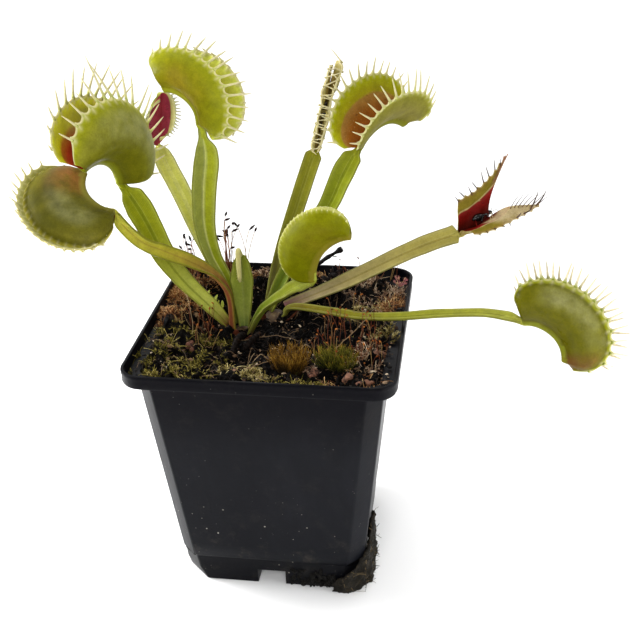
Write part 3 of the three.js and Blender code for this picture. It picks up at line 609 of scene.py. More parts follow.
LEAVES = {
    "leaf_a": {
        "slot": "leaf_olive",
        "path": [(-16.8, 4.6, 82.8), (-17.2, 4.5, 97), (-21.6, 2.4, 105.7), (-29.3, -1.2, 112.4),
                 (-36.9, -4.7, 117.5), (-43.2, -7.7, 121.9), (-48.3, -10, 128.7), (-50.2, -10.9, 133)],
        "faces": [(0.8, 0.3, 0.5), (0.02, -0.86, -0.51)],
        "blade": [(0, 1.6, 1.6, 25), (0.15, 1.6, 1.6, 35), (0.5, 2.5, 2.5, 30), (0.85, 2.2, 2.2, 22),
                  (0.95, 1.5, 1.5, 15), (1, 0.8, 0.8, 0)],
        "trap": {"yaw": 180.5, "pitch": 5.3, "roll": -117, "length": 25.6, "bend": 94, "root": 39,
                 "close": (-48, -44), "width": (23.5, 21.9), "ends": (0.21, 0.33, 0.28, 0.05),
                 "ears": (-0.1, 0.4, 0.9, 1.1), "teeth": 20, "scallop": 0.9, "curl": 0.7, "jitter": 0.4,
                 "flare": 0.3, "lean": (-15, -15),
                 "tooth": ([(0, 0.5), (0.45, 0.7), (0.58, 3.2), (0.85, 3.6), (1, 1.2)],
                           [(0, 0.5), (0.45, 0.8), (0.56, 3.6), (0.85, 5.0), (1, 1.6)])},
        "stalk": {"base": (92, 34, 26), "low": (140, 82, 50), "mid": (194, 182, 60), "top": (196, 190, 62),
                  "edge": (150, 160, 38), "channel": (146, 116, 56), "blush": 0.2, "channel_share": 0.4,
                  "ridge_share": 0.0},
        # The dark stop at 0.9 is painted shade in the groove between the lobe and its rim band.
        "outer": [(0.0, (122, 114, 44)), (0.12, (104, 99, 28)), (0.5, (102, 98, 24)), (0.8, (116, 110, 34)),
                  (0.9, (90, 86, 12)), (0.95, (150, 142, 42)), (1.0, (186, 176, 82))],
        "inner": [(0.0, (120, 50, 36)), (0.5, (130, 96, 48)), (0.85, (146, 140, 58)), (1.0, (170, 166, 90))],
        "look": {"wobble": 0.12, "cream": 0.35, "gloss": 0.04, "rib": (130, 124, 50), "spots": [
            {"u": (0.4, 0.85, 1.1, 1.2), "v": (0.15, 0.8), "share": 0.95, "colour": (158, 104, 54)},
            {"u": (0.2, 0.45, 0.6, 0.85), "v": (0.75, 0.95), "v_from": (0.3, 0.5), "share": 0.7,
             "colour": (66, 66, 14), "scale": 110},
            # This pale area is a painted highlight, a light crescent on the lobe's belly.
            {"u": (0.05, 0.25, 0.5, 0.7), "v": (0.45, 0.7), "v_from": (0.2, 0.35), "share": 0.6,
             "colour": (156, 154, 96)}]},
        "cilia": ((150, 140, 60), (226, 218, 170)),
    },
    "leaf_b": {
        "slot": "leaf_green",
        "path": [(-19.4, 8, 83.6), (-25.1, 8.4, 89.7), (-34.8, 9.1, 99.7), (-41, 9.5, 108.7),
                 (-45, 9.8, 118), (-48.3, 10, 125.3), (-51.7, 10.3, 131.1), (-54.6, 10.5, 135.5)],
        "faces": [(0.4, -0.5, 0.75), (0.25, -0.85, 0.45)],
        "blade": [(0, 1.7, 1.7, 25), (0.15, 2.8, 2.8, 28), (0.45, 4.3, 4, 24), (0.75, 4.6, 4.8, 20),
                  (0.86, 3.2, 4.4, 18), (0.92, 1.2, 1.5, 8), (1, 0.8, 0.8, 0)],
        "trap": {"yaw": 283.6, "pitch": 80.9, "roll": -33.5, "length": 26.9, "bend": 103, "root": 64.4,
                 "close": (-60, -16.5), "width": (24.6, 23.1), "ends": (0.64, 0.21, 0.29, 0.33),
                 "ears": (4.5, 3, 4.9, 5.3), "teeth": 18, "scallop": 1.5, "curl": 0.2, "jitter": 0.2,
                 "flare": 0.5, "lean": (25, 5),
                 "tooth": ([(0, 5), (0.1, 9), (0.55, 11), (0.68, 12.5), (0.76, 6.5), (0.9, 5), (1, 3)],
                           [(0, 2.5), (0.3, 9), (0.5, 12), (0.75, 9), (0.9, 5), (1, 3)]),
                 "swing": ([(0, 55), (0.35, 45), (0.5, 10), (0.6, 0), (1, 0)], [(0, 0), (1, 0)])},
        "stalk": {"base": (112, 58, 34), "low": (210, 216, 100), "mid": (164, 170, 26),
                  "top": (150, 156, 18), "edge": (186, 192, 74), "channel": (104, 118, 14)},
        "outer": [(0.0, (112, 110, 22)), (0.1, (98, 96, 14)), (0.3, (114, 112, 20)), (0.72, (140, 138, 42)),
                  (0.9, (154, 156, 26)), (1.0, (184, 186, 56))],
        # The last two stops hold the inner margin band's yellow-green, painted paler than it is to make up
        # for the shade of the near lobe.
        "inner": [(0.0, (124, 20, 16)), (0.42, (168, 58, 26)), (0.58, (184, 112, 32)),
                  (0.66, (220, 214, 30)), (1.0, (240, 242, 66))],
        "look": {"wobble": 0.08, "gloss": 0.03, "rib": (118, 122, 26), "spots": [
            {"u": (-0.2, -0.1, 0.2, 0.4), "v": (1.2, 1.3), "v_from": (0.3, 0.6), "share": 0.6,
             "colour": (158, 160, 30)},
            # This pale area is a painted highlight, a light crescent on the near lobe.
            {"u": (0.1, 0.4, 0.6, 0.95), "v": (0.75, 0.9), "v_from": (0.4, 0.6), "share": 0.65,
             "colour": (172, 172, 104)}]},
        "cilia": (WEB, CREAM),
    },
    "leaf_c": {
        "slot": "leaf_green",
        "path": [(-13.4, 13.2, 82.7), (-19, 16.5, 92), (-24.4, 21.3, 98.5), (-32.6, 28.1, 110.7),
                 (-40.7, 34.9, 124.2), (-46.2, 39.5, 132), (-49.7, 42.8, 138.4)],
        "faces": [(0.3, -0.6, 0.6), (0.35, -0.85, 0.35)],
        "blade": [(0, 1.6, 1.6, 20), (0.2, 2.4, 2.4, 22), (0.5, 3.3, 3.3, 20), (0.85, 3.5, 3.5, 16),
                  (0.94, 2.8, 2.8, 12), (1, 0.8, 0.8, 0)],
        "trap": {"yaw": 153.7, "pitch": 102.8, "roll": -18.7, "length": 20.5, "bend": 6, "root": 70,
                 "close": (52, 58), "width": (9.4, 5.5), "ends": (0.5, 0.1, 0.05, 0.12),
                 "ears": (-3.0, -3.5, -3.5, 0.2), "teeth": 15, "scallop": 0.7, "curl": 0.1, "jitter": 0.25,
                 "flare": 0.3, "lean": (-12, -12), "tooth": ([(0, 1.2), (0.5, 2), (1, 1.2)],) * 2},
        "stalk": {"base": (120, 118, 50), "low": (152, 164, 64), "mid": (210, 210, 94),
                  "top": (238, 236, 122), "edge": (232, 230, 160), "channel": (226, 224, 134)},
        "outer": [(0.0, (170, 176, 70)), (0.5, (160, 168, 62)), (1.0, (176, 184, 96))],
        "inner": [(0.0, (140, 30, 46)), (0.5, (164, 54, 74)), (0.66, (168, 66, 86)), (0.71, (214, 208, 124)),
                  (1.0, (240, 238, 176))],
        "look": {"wobble": 0.03, "cream": 0.3, "rib": (180, 180, 90)},
        "cilia": ((170, 180, 96), (196, 192, 164)),
    },
    "leaf_d": {
        "slot": "leaf_green",
        "path": [(-17.2, 11, 82.4), (-19.3, 10.9, 98), (-24.3, 11.1, 109.4), (-26.4, 11.1, 120.7),
                 (-25.8, 11.1, 133.7), (-24.3, 11.1, 144.6), (-24.5, 11.3, 151.6), (-24.8, 11.5, 156.3)],
        "faces": [(0.5, -0.8, 0.2), (0.25, -0.95, 0.2)],
        "blade": [(0, 1.5, 1.5, 30), (0.15, 2.2, 2.2, 35), (0.5, 4.4, 4.4, 32), (0.7, 4.2, 4.8, 28),
                  (0.79, 2.8, 4, 20), (0.87, 1.0, 1.2, 8), (1, 0.8, 0.8, 0)],
        "trap": {"yaw": 100, "pitch": 69, "roll": 66.5, "length": 21.6, "bend": 91, "root": 66.7,
                 "close": (-37, -12.5), "width": (16, 17.8), "ends": (0.41, 0.53, 0.19, 0.24),
                 "ears": (4.35, 3.25, 4.8, 3.9), "teeth": 16, "scallop": 1.5, "curl": 0.15, "jitter": 0.14,
                 "flare": 0.6, "lean": (-5, -60),
                 "tooth": ([(0, 4.5), (0.25, 7.2), (0.5, 8.2), (0.75, 7), (0.95, 2.8), (1, 2)],
                           [(0, 1.5), (0.5, 3), (1, 1.5)])},
        "stalk": {"base": (120, 128, 46), "low": (150, 164, 34), "mid": (178, 184, 38),
                  "top": (176, 182, 46), "edge": (200, 206, 110), "channel": (214, 216, 130),
                  "left": (158, 164, 84), "channel_share": 0.8},
        "outer": [(0.0, (140, 138, 24)), (0.25, (140, 132, 20)), (0.6, (140, 139, 18)),
                  (0.88, (156, 158, 26)), (1.0, (190, 192, 64))],
        "inner": [(0.0, (190, 120, 50)), (0.5, (204, 198, 56)), (1.0, (214, 222, 92))],
        "look": {"wobble": 0.1, "gloss": 0.04, "rib": (146, 150, 40), "spots": [
            {"u": (0.2, 0.5, 0.7, 0.95), "v": (0.5, 0.85), "share": 0.5, "colour": (154, 128, 36)}]},
        "cilia": ((190, 194, 100), CREAM),
    },
    "leaf_e": {
        "slot": "leaf_tan",
        "path": [(-7.5, 24.8, 82.8), (-5.2, 29, 94), (-2.5, 33.6, 104.2), (1.6, 40.8, 117.2),
                 (5.8, 48.1, 130.3), (7.7, 51.4, 135.4)],
        "faces": [(0.2, -0.9, 0.3), (0.15, -0.95, 0.2)],
        "blade": [(0, 1.6, 1.6, 15), (0.2, 2.2, 2.2, 20), (0.6, 3, 3, 22), (0.9, 3, 3, 18),
                  (0.96, 1.6, 1.6, 8), (1, 0.8, 0.8, 0)],
        "trap": {"yaw": 45, "pitch": 72.7, "roll": 53, "length": 25, "bend": 12, "root": 14,
                 "close": (15, 2), "splay": (0, 28), "width": (6.2, 7), "ends": (0.35, 0.12, 0.35, 0.12),
                 "ears": (1, 6, 1, 8), "teeth": 10, "scallop": 0.5, "curl": 0.25, "jitter": 0.55,
                 "flare": 0.2, "lean": (-85, -80), "rumple": 0.45, "belly": 0.2, "girth": 0.62,
                 "tooth": ([(0, 2), (0.3, 3.5), (0.7, 4.5), (0.85, 5), (1, 4)],
                           [(0, 2), (0.3, 3.2), (0.7, 3.6), (0.85, 5), (1, 6)])},
        "stalk": {"base": (96, 72, 54), "low": (112, 104, 54), "mid": (148, 146, 32), "top": (160, 158, 40),
                  "edge": (184, 182, 84), "channel": (142, 140, 36), "spots": 0.5},
        "outer": [(0.0, (140, 134, 60)), (0.3, (182, 176, 112)), (0.7, (160, 152, 76)),
                  (1.0, (196, 184, 116))],
        "inner": [(0.0, (124, 100, 50)), (0.35, (184, 158, 84)), (0.75, (204, 188, 110)),
                  (1.0, (196, 184, 120))],
        "look": {"wobble": 0.5, "freckle": 0.5, "dot": (38, 30, 20), "rough": (0.5, 0.75), "mottle": 0.6,
                 "rib": (130, 124, 70)},
        "cilia": ((178, 168, 112), (214, 204, 160)),
    },
    "leaf_f": {
        "slot": "leaf_green",
        "path": [(-7, 21, 83.2), (-2.2, 24.7, 94.1), (5.8, 30.9, 107.6), (13.7, 37.1, 117.9),
                 (18.5, 40.9, 128.2), (21.9, 43.5, 134.6), (24.1, 45, 138.1)],
        "faces": [(-0.1, -0.8, 0.6), (-0.3, -0.75, 0.6)],
        "blade": [(0, 1.7, 1.7, 20), (0.2, 2.6, 2.6, 25), (0.5, 3.8, 3.8, 24), (0.75, 4.5, 4.5, 20),
                  (0.86, 3.8, 3.8, 16), (0.93, 1.5, 1.5, 8), (1, 0.8, 0.8, 0)],
        "trap": {"yaw": 45.8, "pitch": 55.7, "roll": 6.2, "length": 28, "bend": 94.3, "root": 47.3,
                 "close": (10.5, 22.2), "width": (17.8, 16.1), "ends": (0.27, 0.28, 0.44, 0.27),
                 "ears": (2.4, 3, 1.3, 3.7), "teeth": 17, "scallop": 1.3, "curl": 0.2, "jitter": 0.16,
                 "flare": 0.4, "lean": (-6, -30),
                 "tooth": ([(0, 3), (0.25, 5.2), (0.6, 5.2), (0.85, 3.2), (1, 1.5)],
                           [(0, 3.5), (0.2, 5), (0.5, 7), (0.65, 8), (0.8, 4.5), (1, 1.6)])},
        "stalk": {"base": (100, 98, 40), "low": (114, 134, 32), "mid": (136, 146, 16), "top": (150, 154, 28),
                  "edge": (182, 188, 70), "channel": (126, 136, 18)},
        "outer": [(0.0, (118, 114, 24)), (0.1, (122, 116, 34)), (0.5, (136, 128, 56)),
                  (0.85, (140, 136, 44)), (1.0, (182, 184, 66))],
        "inner": [(0.0, (134, 66, 16)), (0.35, (152, 90, 28)), (0.6, (172, 128, 62)), (0.66, (174, 166, 30)),
                  (1.0, (184, 190, 24))],
        "look": {"wobble": 0.06, "gloss": 0.03, "rough": (0.5, 0.62), "rib": (112, 114, 22),
                 "freckle": 0.3, "dot": (196, 176, 120)},
        "cilia": ((196, 198, 110), CREAM),
    },
    "leaf_g": {
        "slot": "leaf_green",
        "path": [(-11.6, 5.6, 81.9), (-5.7, 3.2, 92.5), (3.4, -0.7, 101), (8.9, -3, 105.2),
                 (13.4, -4.9, 108.1)],
        "faces": [(-0.5, -0.3, 0.8), (-0.7, -0.3, 0.6)],
        "blade": [(0, 1.5, 1.5, 30), (0.3, 2, 2.2, 35), (0.7, 3.6, 3, 30), (0.86, 3.4, 2.8, 22),
                  (0.94, 1.6, 1.6, 10), (1, 0.8, 0.8, 0)],
        "trap": {"yaw": 31.6, "pitch": 96.3, "roll": -48.2, "length": 27.6, "bend": 82.3, "root": 47.8,
                 "close": (-43, -39.8), "width": (13.4, 13.9), "ends": (0.27, 0.25, 0.18, 0.22),
                 "ears": (-0.2, -0.5, -0.1, 0.5), "teeth": 24, "scallop": 0.3, "curl": 0.2, "jitter": 0.1,
                 "flare": 0.3, "lean": (0, 0), "tooth": ([(0, 0.4), (0.5, 0.6), (1, 0.3)],) * 2},
        "stalk": {"base": (96, 58, 40), "low": (118, 142, 34), "mid": (164, 172, 42), "top": (182, 188, 66),
                  "edge": (196, 202, 108), "channel": (164, 172, 66), "under": (100, 84, 36)},
        "outer": [(0.0, (128, 124, 22)), (0.1, (118, 118, 10)), (0.4, (120, 121, 8)), (0.85, (134, 136, 12)),
                  (0.93, (152, 154, 30)), (1.0, (192, 194, 84))],
        "inner": [(0.0, (150, 150, 50)), (1.0, (150, 160, 60))],
        "look": {"wobble": 0.06, "rib": (124, 114, 36), "cream": 0.3, "gloss": 0.03, "spots": [
            {"u": (0.3, 0.6, 0.7, 1.0), "v": (0.4, 0.8), "share": 0.45, "colour": (138, 122, 30)}]},
        "cilia": ((190, 192, 110), (216, 212, 150)),
    },
    "leaf_h": {
        "slot": "leaf_pale",
        "path": [(-1.4, 23.6, 84), (11.3, 28.1, 88), (21.7, 31.9, 91.7), (40, 38.6, 99.2), (50.8, 42.5, 103),
                 (58, 45.1, 104.8), (61.2, 46, 105.7)],
        "faces": [(-0.15, -0.6, 0.75), (-0.15, -0.8, 0.55)],
        "blade": [(0, 1.7, 1.7, 12), (0.2, 2.5, 2.5, 14), (0.5, 3.2, 3.2, 14), (0.93, 3.4, 3.4, 14),
                  (0.965, 2, 2, 8), (1, 0.8, 0.8, 0)],
        "trap": {"yaw": 33.5, "pitch": 2.4, "roll": 8.4, "length": 13.6, "bend": -23.6, "root": 26,
                 "close": (23, 108), "width": (12.4, 9.1), "ends": (0.87, 1.38, 0.91, 1.85),
                 "ears": (-1.8, 18.4, -1.9, 14.5), "teeth": 9, "scallop": 0.9, "curl": 0.4, "jitter": 0.4,
                 "flare": 0.2, "lean": (5, -20), "rumple": 0.35, "girth": 0.6,
                 "tooth": ([(0, 2), (0.3, 3.2), (0.65, 5), (0.75, 4), (0.85, 1), (1, 0.8)],
                           [(0, 0.5), (0.3, 2), (0.55, 2), (0.7, 7), (1, 9)]),
                 "swing": ([(0, 0), (1, 0)], [(0, 0), (0.5, 0), (0.8, -70), (1, -80)])},
        "stalk": {"base": (152, 100, 104), "low": (190, 170, 128), "mid": (186, 172, 88),
                  "top": (184, 172, 84), "edge": (194, 184, 116), "channel": (152, 134, 60),
                  "spots": 0.35, "blush": 0.12},
        "outer": [(0.0, (150, 120, 70)), (0.5, (164, 150, 90)), (1.0, (196, 180, 130))],
        "inner": [(0.0, (52, 9, 4)), (0.2, (84, 12, 4)), (0.42, (124, 16, 12)), (0.57, (146, 40, 34)),
                  (0.61, (198, 180, 122)), (0.65, (134, 118, 36)), (0.9, (140, 122, 38)),
                  (1.0, (150, 122, 62))],
        "look": {"wobble": 0.03, "freckle": 0.6, "dot": (84, 42, 22), "cream": 0.0, "gloss": 0.04,
                 "rough": (0.45, 0.6), "rib": (120, 110, 50), "spots": [
                     {"u": (0.78, 0.9, 1.1, 1.2), "v": (1.2, 1.3), "v_from": (0.5, 0.75), "share": 0.9,
                      "colour": (150, 104, 82), "side": -1},
                     {"u": (0.4, 0.6, 1.1, 1.2), "v": (1.2, 1.3), "v_from": (0.25, 0.45), "share": 0.95,
                      "colour": (204, 184, 142), "side": 1}]},
        "cilia": ((120, 88, 60), (66, 48, 40)),
    },
    "leaf_i": {
        "slot": "leaf_green",
        "path": [(-1.4, 18.8, 83), (2.8, 17.4, 87), (17.3, 10.8, 89.1), (28.4, 5.8, 90.3), (41.1, 0.4, 93.4),
                 (56.5, -6.5, 98.8), (69.6, -12.4, 102.8), (77.8, -15.8, 103.8), (82.9, -17.6, 103.5)],
        "faces": [(0, -0.2, 1), (-0.1, -0.3, 0.95)],
        "blade": [(0, 1.6, 1.6, 15), (0.15, 1.6, 1.6, 20), (0.5, 1.9, 1.9, 20), (0.9, 1.7, 1.7, 18),
                  (1, 0.8, 0.8, 0)],
        "trap": {"yaw": -3.7, "pitch": 9.4, "roll": -16.1, "length": 22.5, "bend": 98.4, "root": 56.8,
                 "close": (-32.7, -31.1), "width": (16.4, 17.8), "ends": (0.31, 0.29, 0.42, 0.12),
                 "ears": (1.35, 2.1, 1.7, 2.2), "teeth": 15, "scallop": 1.3, "curl": 0.1, "jitter": 0.16,
                 "flare": 0.5, "lean": (10, 0),
                 "tooth": ([(0, 2.5), (0.12, 6), (0.85, 6.4), (1, 1.5)],) * 2},
        "stalk": {"base": (140, 140, 60), "low": (126, 112, 14), "mid": (160, 162, 40),
                  "top": (176, 176, 66), "edge": (196, 196, 96), "channel": (104, 104, 14),
                  "spots": 0.4, "under": (84, 88, 14)},
        # The dark stop at 0.9 is painted shade in the groove between the lobe and its rim band.
        "outer": [(0.0, (116, 114, 18)), (0.1, (92, 88, 8)), (0.4, (100, 97, 8)), (0.8, (112, 109, 14)),
                  (0.9, (100, 98, 6)), (0.94, (146, 148, 18)), (1.0, (166, 170, 40))],
        "inner": [(0.0, (130, 100, 40)), (1.0, (150, 156, 60))],
        "look": {"wobble": 0.06, "rough": (0.24, 0.34), "gloss": 0.08, "cream": 0.35, "rib": (116, 120, 24),
                 "spots": [
            {"u": (0.78, 0.95, 1.1, 1.2), "v": (0.7, 0.95), "share": 0.8, "colour": (112, 70, 34)},
            # This pale area is a painted highlight, a soft light band over the lobe's bulge.
            {"u": (0.1, 0.3, 0.6, 0.9), "v": (0.8, 0.92), "v_from": (0.45, 0.65), "share": 0.7,
             "colour": (152, 150, 88)}]},
        "cilia": ((130, 142, 30), (236, 224, 190)),
    },
}

YOUNG = {
    "slot": "leaf_green",
    "path": [(-13.6, 8.4, 83), (-13.6, 9.2, 93), (-13.7, 10, 102), (-13.8, 10.6, 110)],
    "faces": [(0, -1, 0.1), (0, -1, 0.1)],
    "blade": [(0, 1.6, 1.6, 25), (0.35, 3.4, 3.4, 24), (0.65, 4.1, 4.1, 20), (0.9, 2.6, 2.6, 15),
              (1, 1, 1, 5)],
    "stalk": {"base": (104, 122, 60), "low": (156, 166, 76), "mid": (150, 162, 60), "top": (130, 138, 34),
              "edge": (170, 176, 76), "channel": (160, 168, 84)},
    "bud": [(-13.8, 10.6, 110), (-14.2, 8.4, 112.6), (-14.1, 7.3, 108), (-13.8, 6.3, 101.5)],
    "bud_radius": 0.95,
}


def trap_frame(trap):
    yaw, pitch, roll = (math.radians(trap[key]) for key in ("yaw", "pitch", "roll"))
    heading = np.array([math.cos(yaw) * math.cos(pitch), math.sin(yaw) * math.cos(pitch), math.sin(pitch)])
    up = np.array([-math.cos(yaw) * math.sin(pitch), -math.sin(yaw) * math.sin(pitch), math.cos(pitch)])
    opening = up * math.cos(roll) + np.cross(heading, up) * math.sin(roll)
    return heading, opening, np.cross(heading, opening)


def of_side(pair, second):
    return np.where(second, pair[1], pair[0])


def lobe_width(trap, u, second):
    bow = np.clip(1 - np.abs(2 * u - 1) ** TRAP["power"], 0, 1) ** (1 / TRAP["power"])
    ends = trap["ends"]
    end = lerp(of_side(ends[::2], second), of_side(ends[1::2], second), u)
    return of_side(trap["width"], second) * (end + np.clip(1 - end, 0, None) * bow)


def lobe(neck, trap, u, v):
    """Point, way across, way out and heading on a trap; v goes from the left margin (-1) over the
    midrib (0) to the right margin (1)."""
    u, v = np.broadcast_arrays(np.asarray(u, float), np.asarray(v, float))
    heading, opening, right = trap_frame(trap)
    bend = math.radians(trap["bend"])
    radius = trap["length"] / bend
    turn = (bend * u)[..., None]
    ahead = heading * np.cos(turn) - opening * np.sin(turn)
    open_way = opening * np.cos(turn) + heading * np.sin(turn)
    side = np.sign(v)
    second = v > 0
    share = np.abs(v)
    splay = of_side(trap.get("splay", (0, 0)), second) * smoothstep(0.6, 1, u)
    root = np.radians(trap["root"] + splay)
    change = np.radians(of_side(trap["close"], second) + splay) - root
    angle = root + change * share
    rise = (np.sin(angle) - np.sin(root)) / change
    spread = (np.cos(root) - np.cos(angle)) / change
    width = lobe_width(trap, u, second)
    ears = trap["ears"]
    start, end = of_side(ears[::2], second), of_side(ears[1::2], second)
    reach = lerp(-start, end, u) * share ** TRAP["ear_power"]
    point = neck + radius * (heading * np.sin(turn) - opening * (1 - np.cos(turn)))
    point = point + open_way * (rise * width)[..., None] + right * (side * spread * width)[..., None]
    point = point + ahead * reach[..., None]
    lean = angle + np.radians(of_side(trap["lean"], second))
    across = open_way * np.cos(lean)[..., None] + right * (side * np.sin(lean))[..., None]
    keel = 3 * np.clip(1 - share * width / TRAP["rib"], 0, 1)
    out = -open_way * (np.sin(angle) + keel)[..., None] + right * (side * np.cos(angle))[..., None]
    return point, across, unit(out), ahead


def bristle_way(trap, u, side):
    """Way of the bristle at u: over the margin, fanned out towards the trap's ends and swung outward."""
    _, across, out, ahead = lobe(np.zeros(3), trap, u, side)
    swing = math.radians(np.interp(u, *np.transpose(trap.get("swing", NO_SWING)[side > 0])))
    return unit(across * math.cos(swing) + out * math.sin(swing) + ahead * (2 * u - 1) * LOBE["fan"])


def from_tooth(trap, u, v):
    """Distance to the nearest tooth: 0 at a tooth, 1 half way to the next; the lobes' teeth alternate."""
    phase = u * trap["teeth"] - np.where(v < 0, 0.25, 0.75)
    return 2 * np.abs(phase - np.round(phase))


def spread_ends(count, crowd):
    """Places from 0 to 1 that lie closer together near both ends."""
    s = np.linspace(0, 1, count)
    return s - crowd * np.sin(2 * math.pi * s)


def trap_body(form, neck, trap, seed):
    """The two lobes as one skin with a cord along the midrib and a margin of arches between the teeth."""
    step = 1 / (LOBE["per_tooth"] * trap["teeth"])
    ends = np.array([0, 0.2, 0.5]) * step
    u = np.concatenate([ends, np.arange(step, 1 - step / 2, step), 1 - ends[::-1]])
    half = spread_ends(LOBE["columns"], LOBE["crowd"])
    v = np.concatenate([-half[:0:-1], half])
    uu, vv = np.meshgrid(u, v, indexing="ij")
    point, across, out, _ = lobe(neck, trap, uu, vv)
    share = np.abs(vv)
    band = np.clip((share - (1 - LOBE["band"])) / LOBE["band"], 0, 1)
    flare = trap["flare"] * band**2
    arch = (1 - from_tooth(trap, uu, vv)) ** LOBE["arch"] - LOBE["arch_low"]
    web = trap["scallop"] * arch * band**1.6
    shift = np.random.default_rng(seed).uniform(0, 9, 4)
    waves = np.sin(uu * 9 + vv * 3 + shift[0]) * np.sin(vv * 7 + shift[1])
    waves = waves + 0.6 * np.sin(uu * 23 + shift[2]) * np.sin(vv * 9 + shift[3]) * share
    belly = trap.get("belly", LOBE["belly"]) * (1 - (2 * uu - 1) ** 4) * np.sin(math.pi * share) ** 2
    swell = flare + belly + trap.get("rumple", LOBE["rumple"]) * waves
    point = point + out * swell[..., None] + across * web[..., None]
    thin_end = np.sqrt(1 - (1 - np.clip(np.minimum(uu, 1 - uu) / LOBE["rounded"], 0, 1)) ** 2)
    off = share * lobe_width(trap, uu, vv > 0) / TRAP["rib"]
    cord = np.sqrt(np.clip(1 - off**2, 0, 1))
    thick = lerp(TRAP["lobe"], TRAP["margin"], share**1.5) + (TRAP["keel"] - TRAP["lobe"]) * cord
    thick = (thick * (0.1 + 0.9 * thin_end))[..., None]
    outer = point + out * thick

    left, right = ((point[:, k], out[:, k], across[:, k], thick[:, k]) for k in (0, -1))
    rings = shell_rings(point, outer, left, right, 45)
    guide_u, guide_v = np.meshgrid(u, shell_places(v), indexing="ij")
    extra = np.where(np.abs(guide_v) > 0.6, 1 - from_tooth(trap, guide_u, guide_v), 0)
    rib = np.concatenate([cord[:, :1], cord[:, :1], cord, cord[:, [-1] * 3], cord[:, ::-1], cord[:, :1]], 1)
    extra = np.where(np.abs(guide_v) < 0.5, rib > 0.05, extra)
    points, (quads, end_quads, end_triangles) = flat_body(rings)
    column = quads[:, 0] % rings.shape[1]
    inner = (column >= 2) & (column < len(v) + 1)
    faces = [quads[~inner], quads[inner], end_quads, end_triangles]
    finishes = [OUTSIDE, INSIDE, OUTSIDE, OUTSIDE]
    form.add(points, faces, finishes, np.stack([guide_u, guide_v, extra], -1))


def cilia(form, neck, trap, seed):
    """The teeth: tapered, slightly bent bristles that stand on the margin's webs."""
    random = np.random.default_rng(seed)
    t = np.linspace(0, 1, 8)
    _, _, right = trap_frame(trap)
    for side in (-1, 1):
        lengths = trap["tooth"][side > 0]
        for k in range(trap["teeth"]):
            u = (k + (0.25 if side < 0 else 0.75)) / trap["teeth"]
            point, across, out, _ = lobe(neck, trap, u, side)
            shake = trap["jitter"] * random.normal(0, 0.5, 3)
            way = unit(bristle_way(trap, u, side) + shake * 0.6)
            length = np.interp(u, *np.transpose(lengths)) * random.uniform(0.88, 1.12)
            bend = unit(-right * side + shake * 2) * trap["curl"] * length * 0.3
            root = point + out * (trap["flare"] + TRAP["margin"] / 2) + across * trap["scallop"] * 0.45
            whole = length + BRISTLE["sunk"]
            path = root - across * BRISTLE["sunk"] + way * whole * t[:, None] + bend * (t**2)[:, None]
            thickness = min(BRISTLE["thickest"], BRISTLE["thick"] + length * BRISTLE["per_length"])
            thickness = thickness * trap.get("girth", 1)
            foot = BRISTLE["foot"] * np.clip(0.2 - t, 0, 1) * min(length, 4) / 2
            radii = thickness * (1 - t) ** BRISTLE["taper"] + foot + BRISTLE["tip"]
            guide = along_tube(t, BRISTLE["sides"])
            guide[:, 0] = u
            form.add(*tube(path, radii, BRISTLE["sides"]), CILIA, guide)


def trigger_hairs(form, neck, trap):
    """Three short hairs inside each lobe."""
    t = np.linspace(0, 1, 5)
    for side in (-1, 1):
        for u, v in TRIGGER["places"]:
            point, across, out, _ = lobe(neck, trap, u, side * v)
            bend = across * (TRIGGER["bend"] * t**2)[:, None]
            path = point + out * 0.3 - out * TRIGGER["length"] * t[:, None] + bend
            radii = TRIGGER["thick"] * (1 - t) + TRIGGER["tip"]
            form.add(*tube(path, radii, 5), INSIDE, (u, side * v, 0))


def keyed(keys, u):
    """Values of keys [place, value, ...] at u, eased between the keys."""
    places = [key[0] for key in keys]
    soft = np.linspace(-0.018, 0.018, 7)
    values = []
    for k in range(1, len(keys[0])):
        column = [key[k] for key in keys]
        values.append(np.mean([np.interp(np.clip(u + s, 0, 1), places, column) for s in soft], 0))
    return values


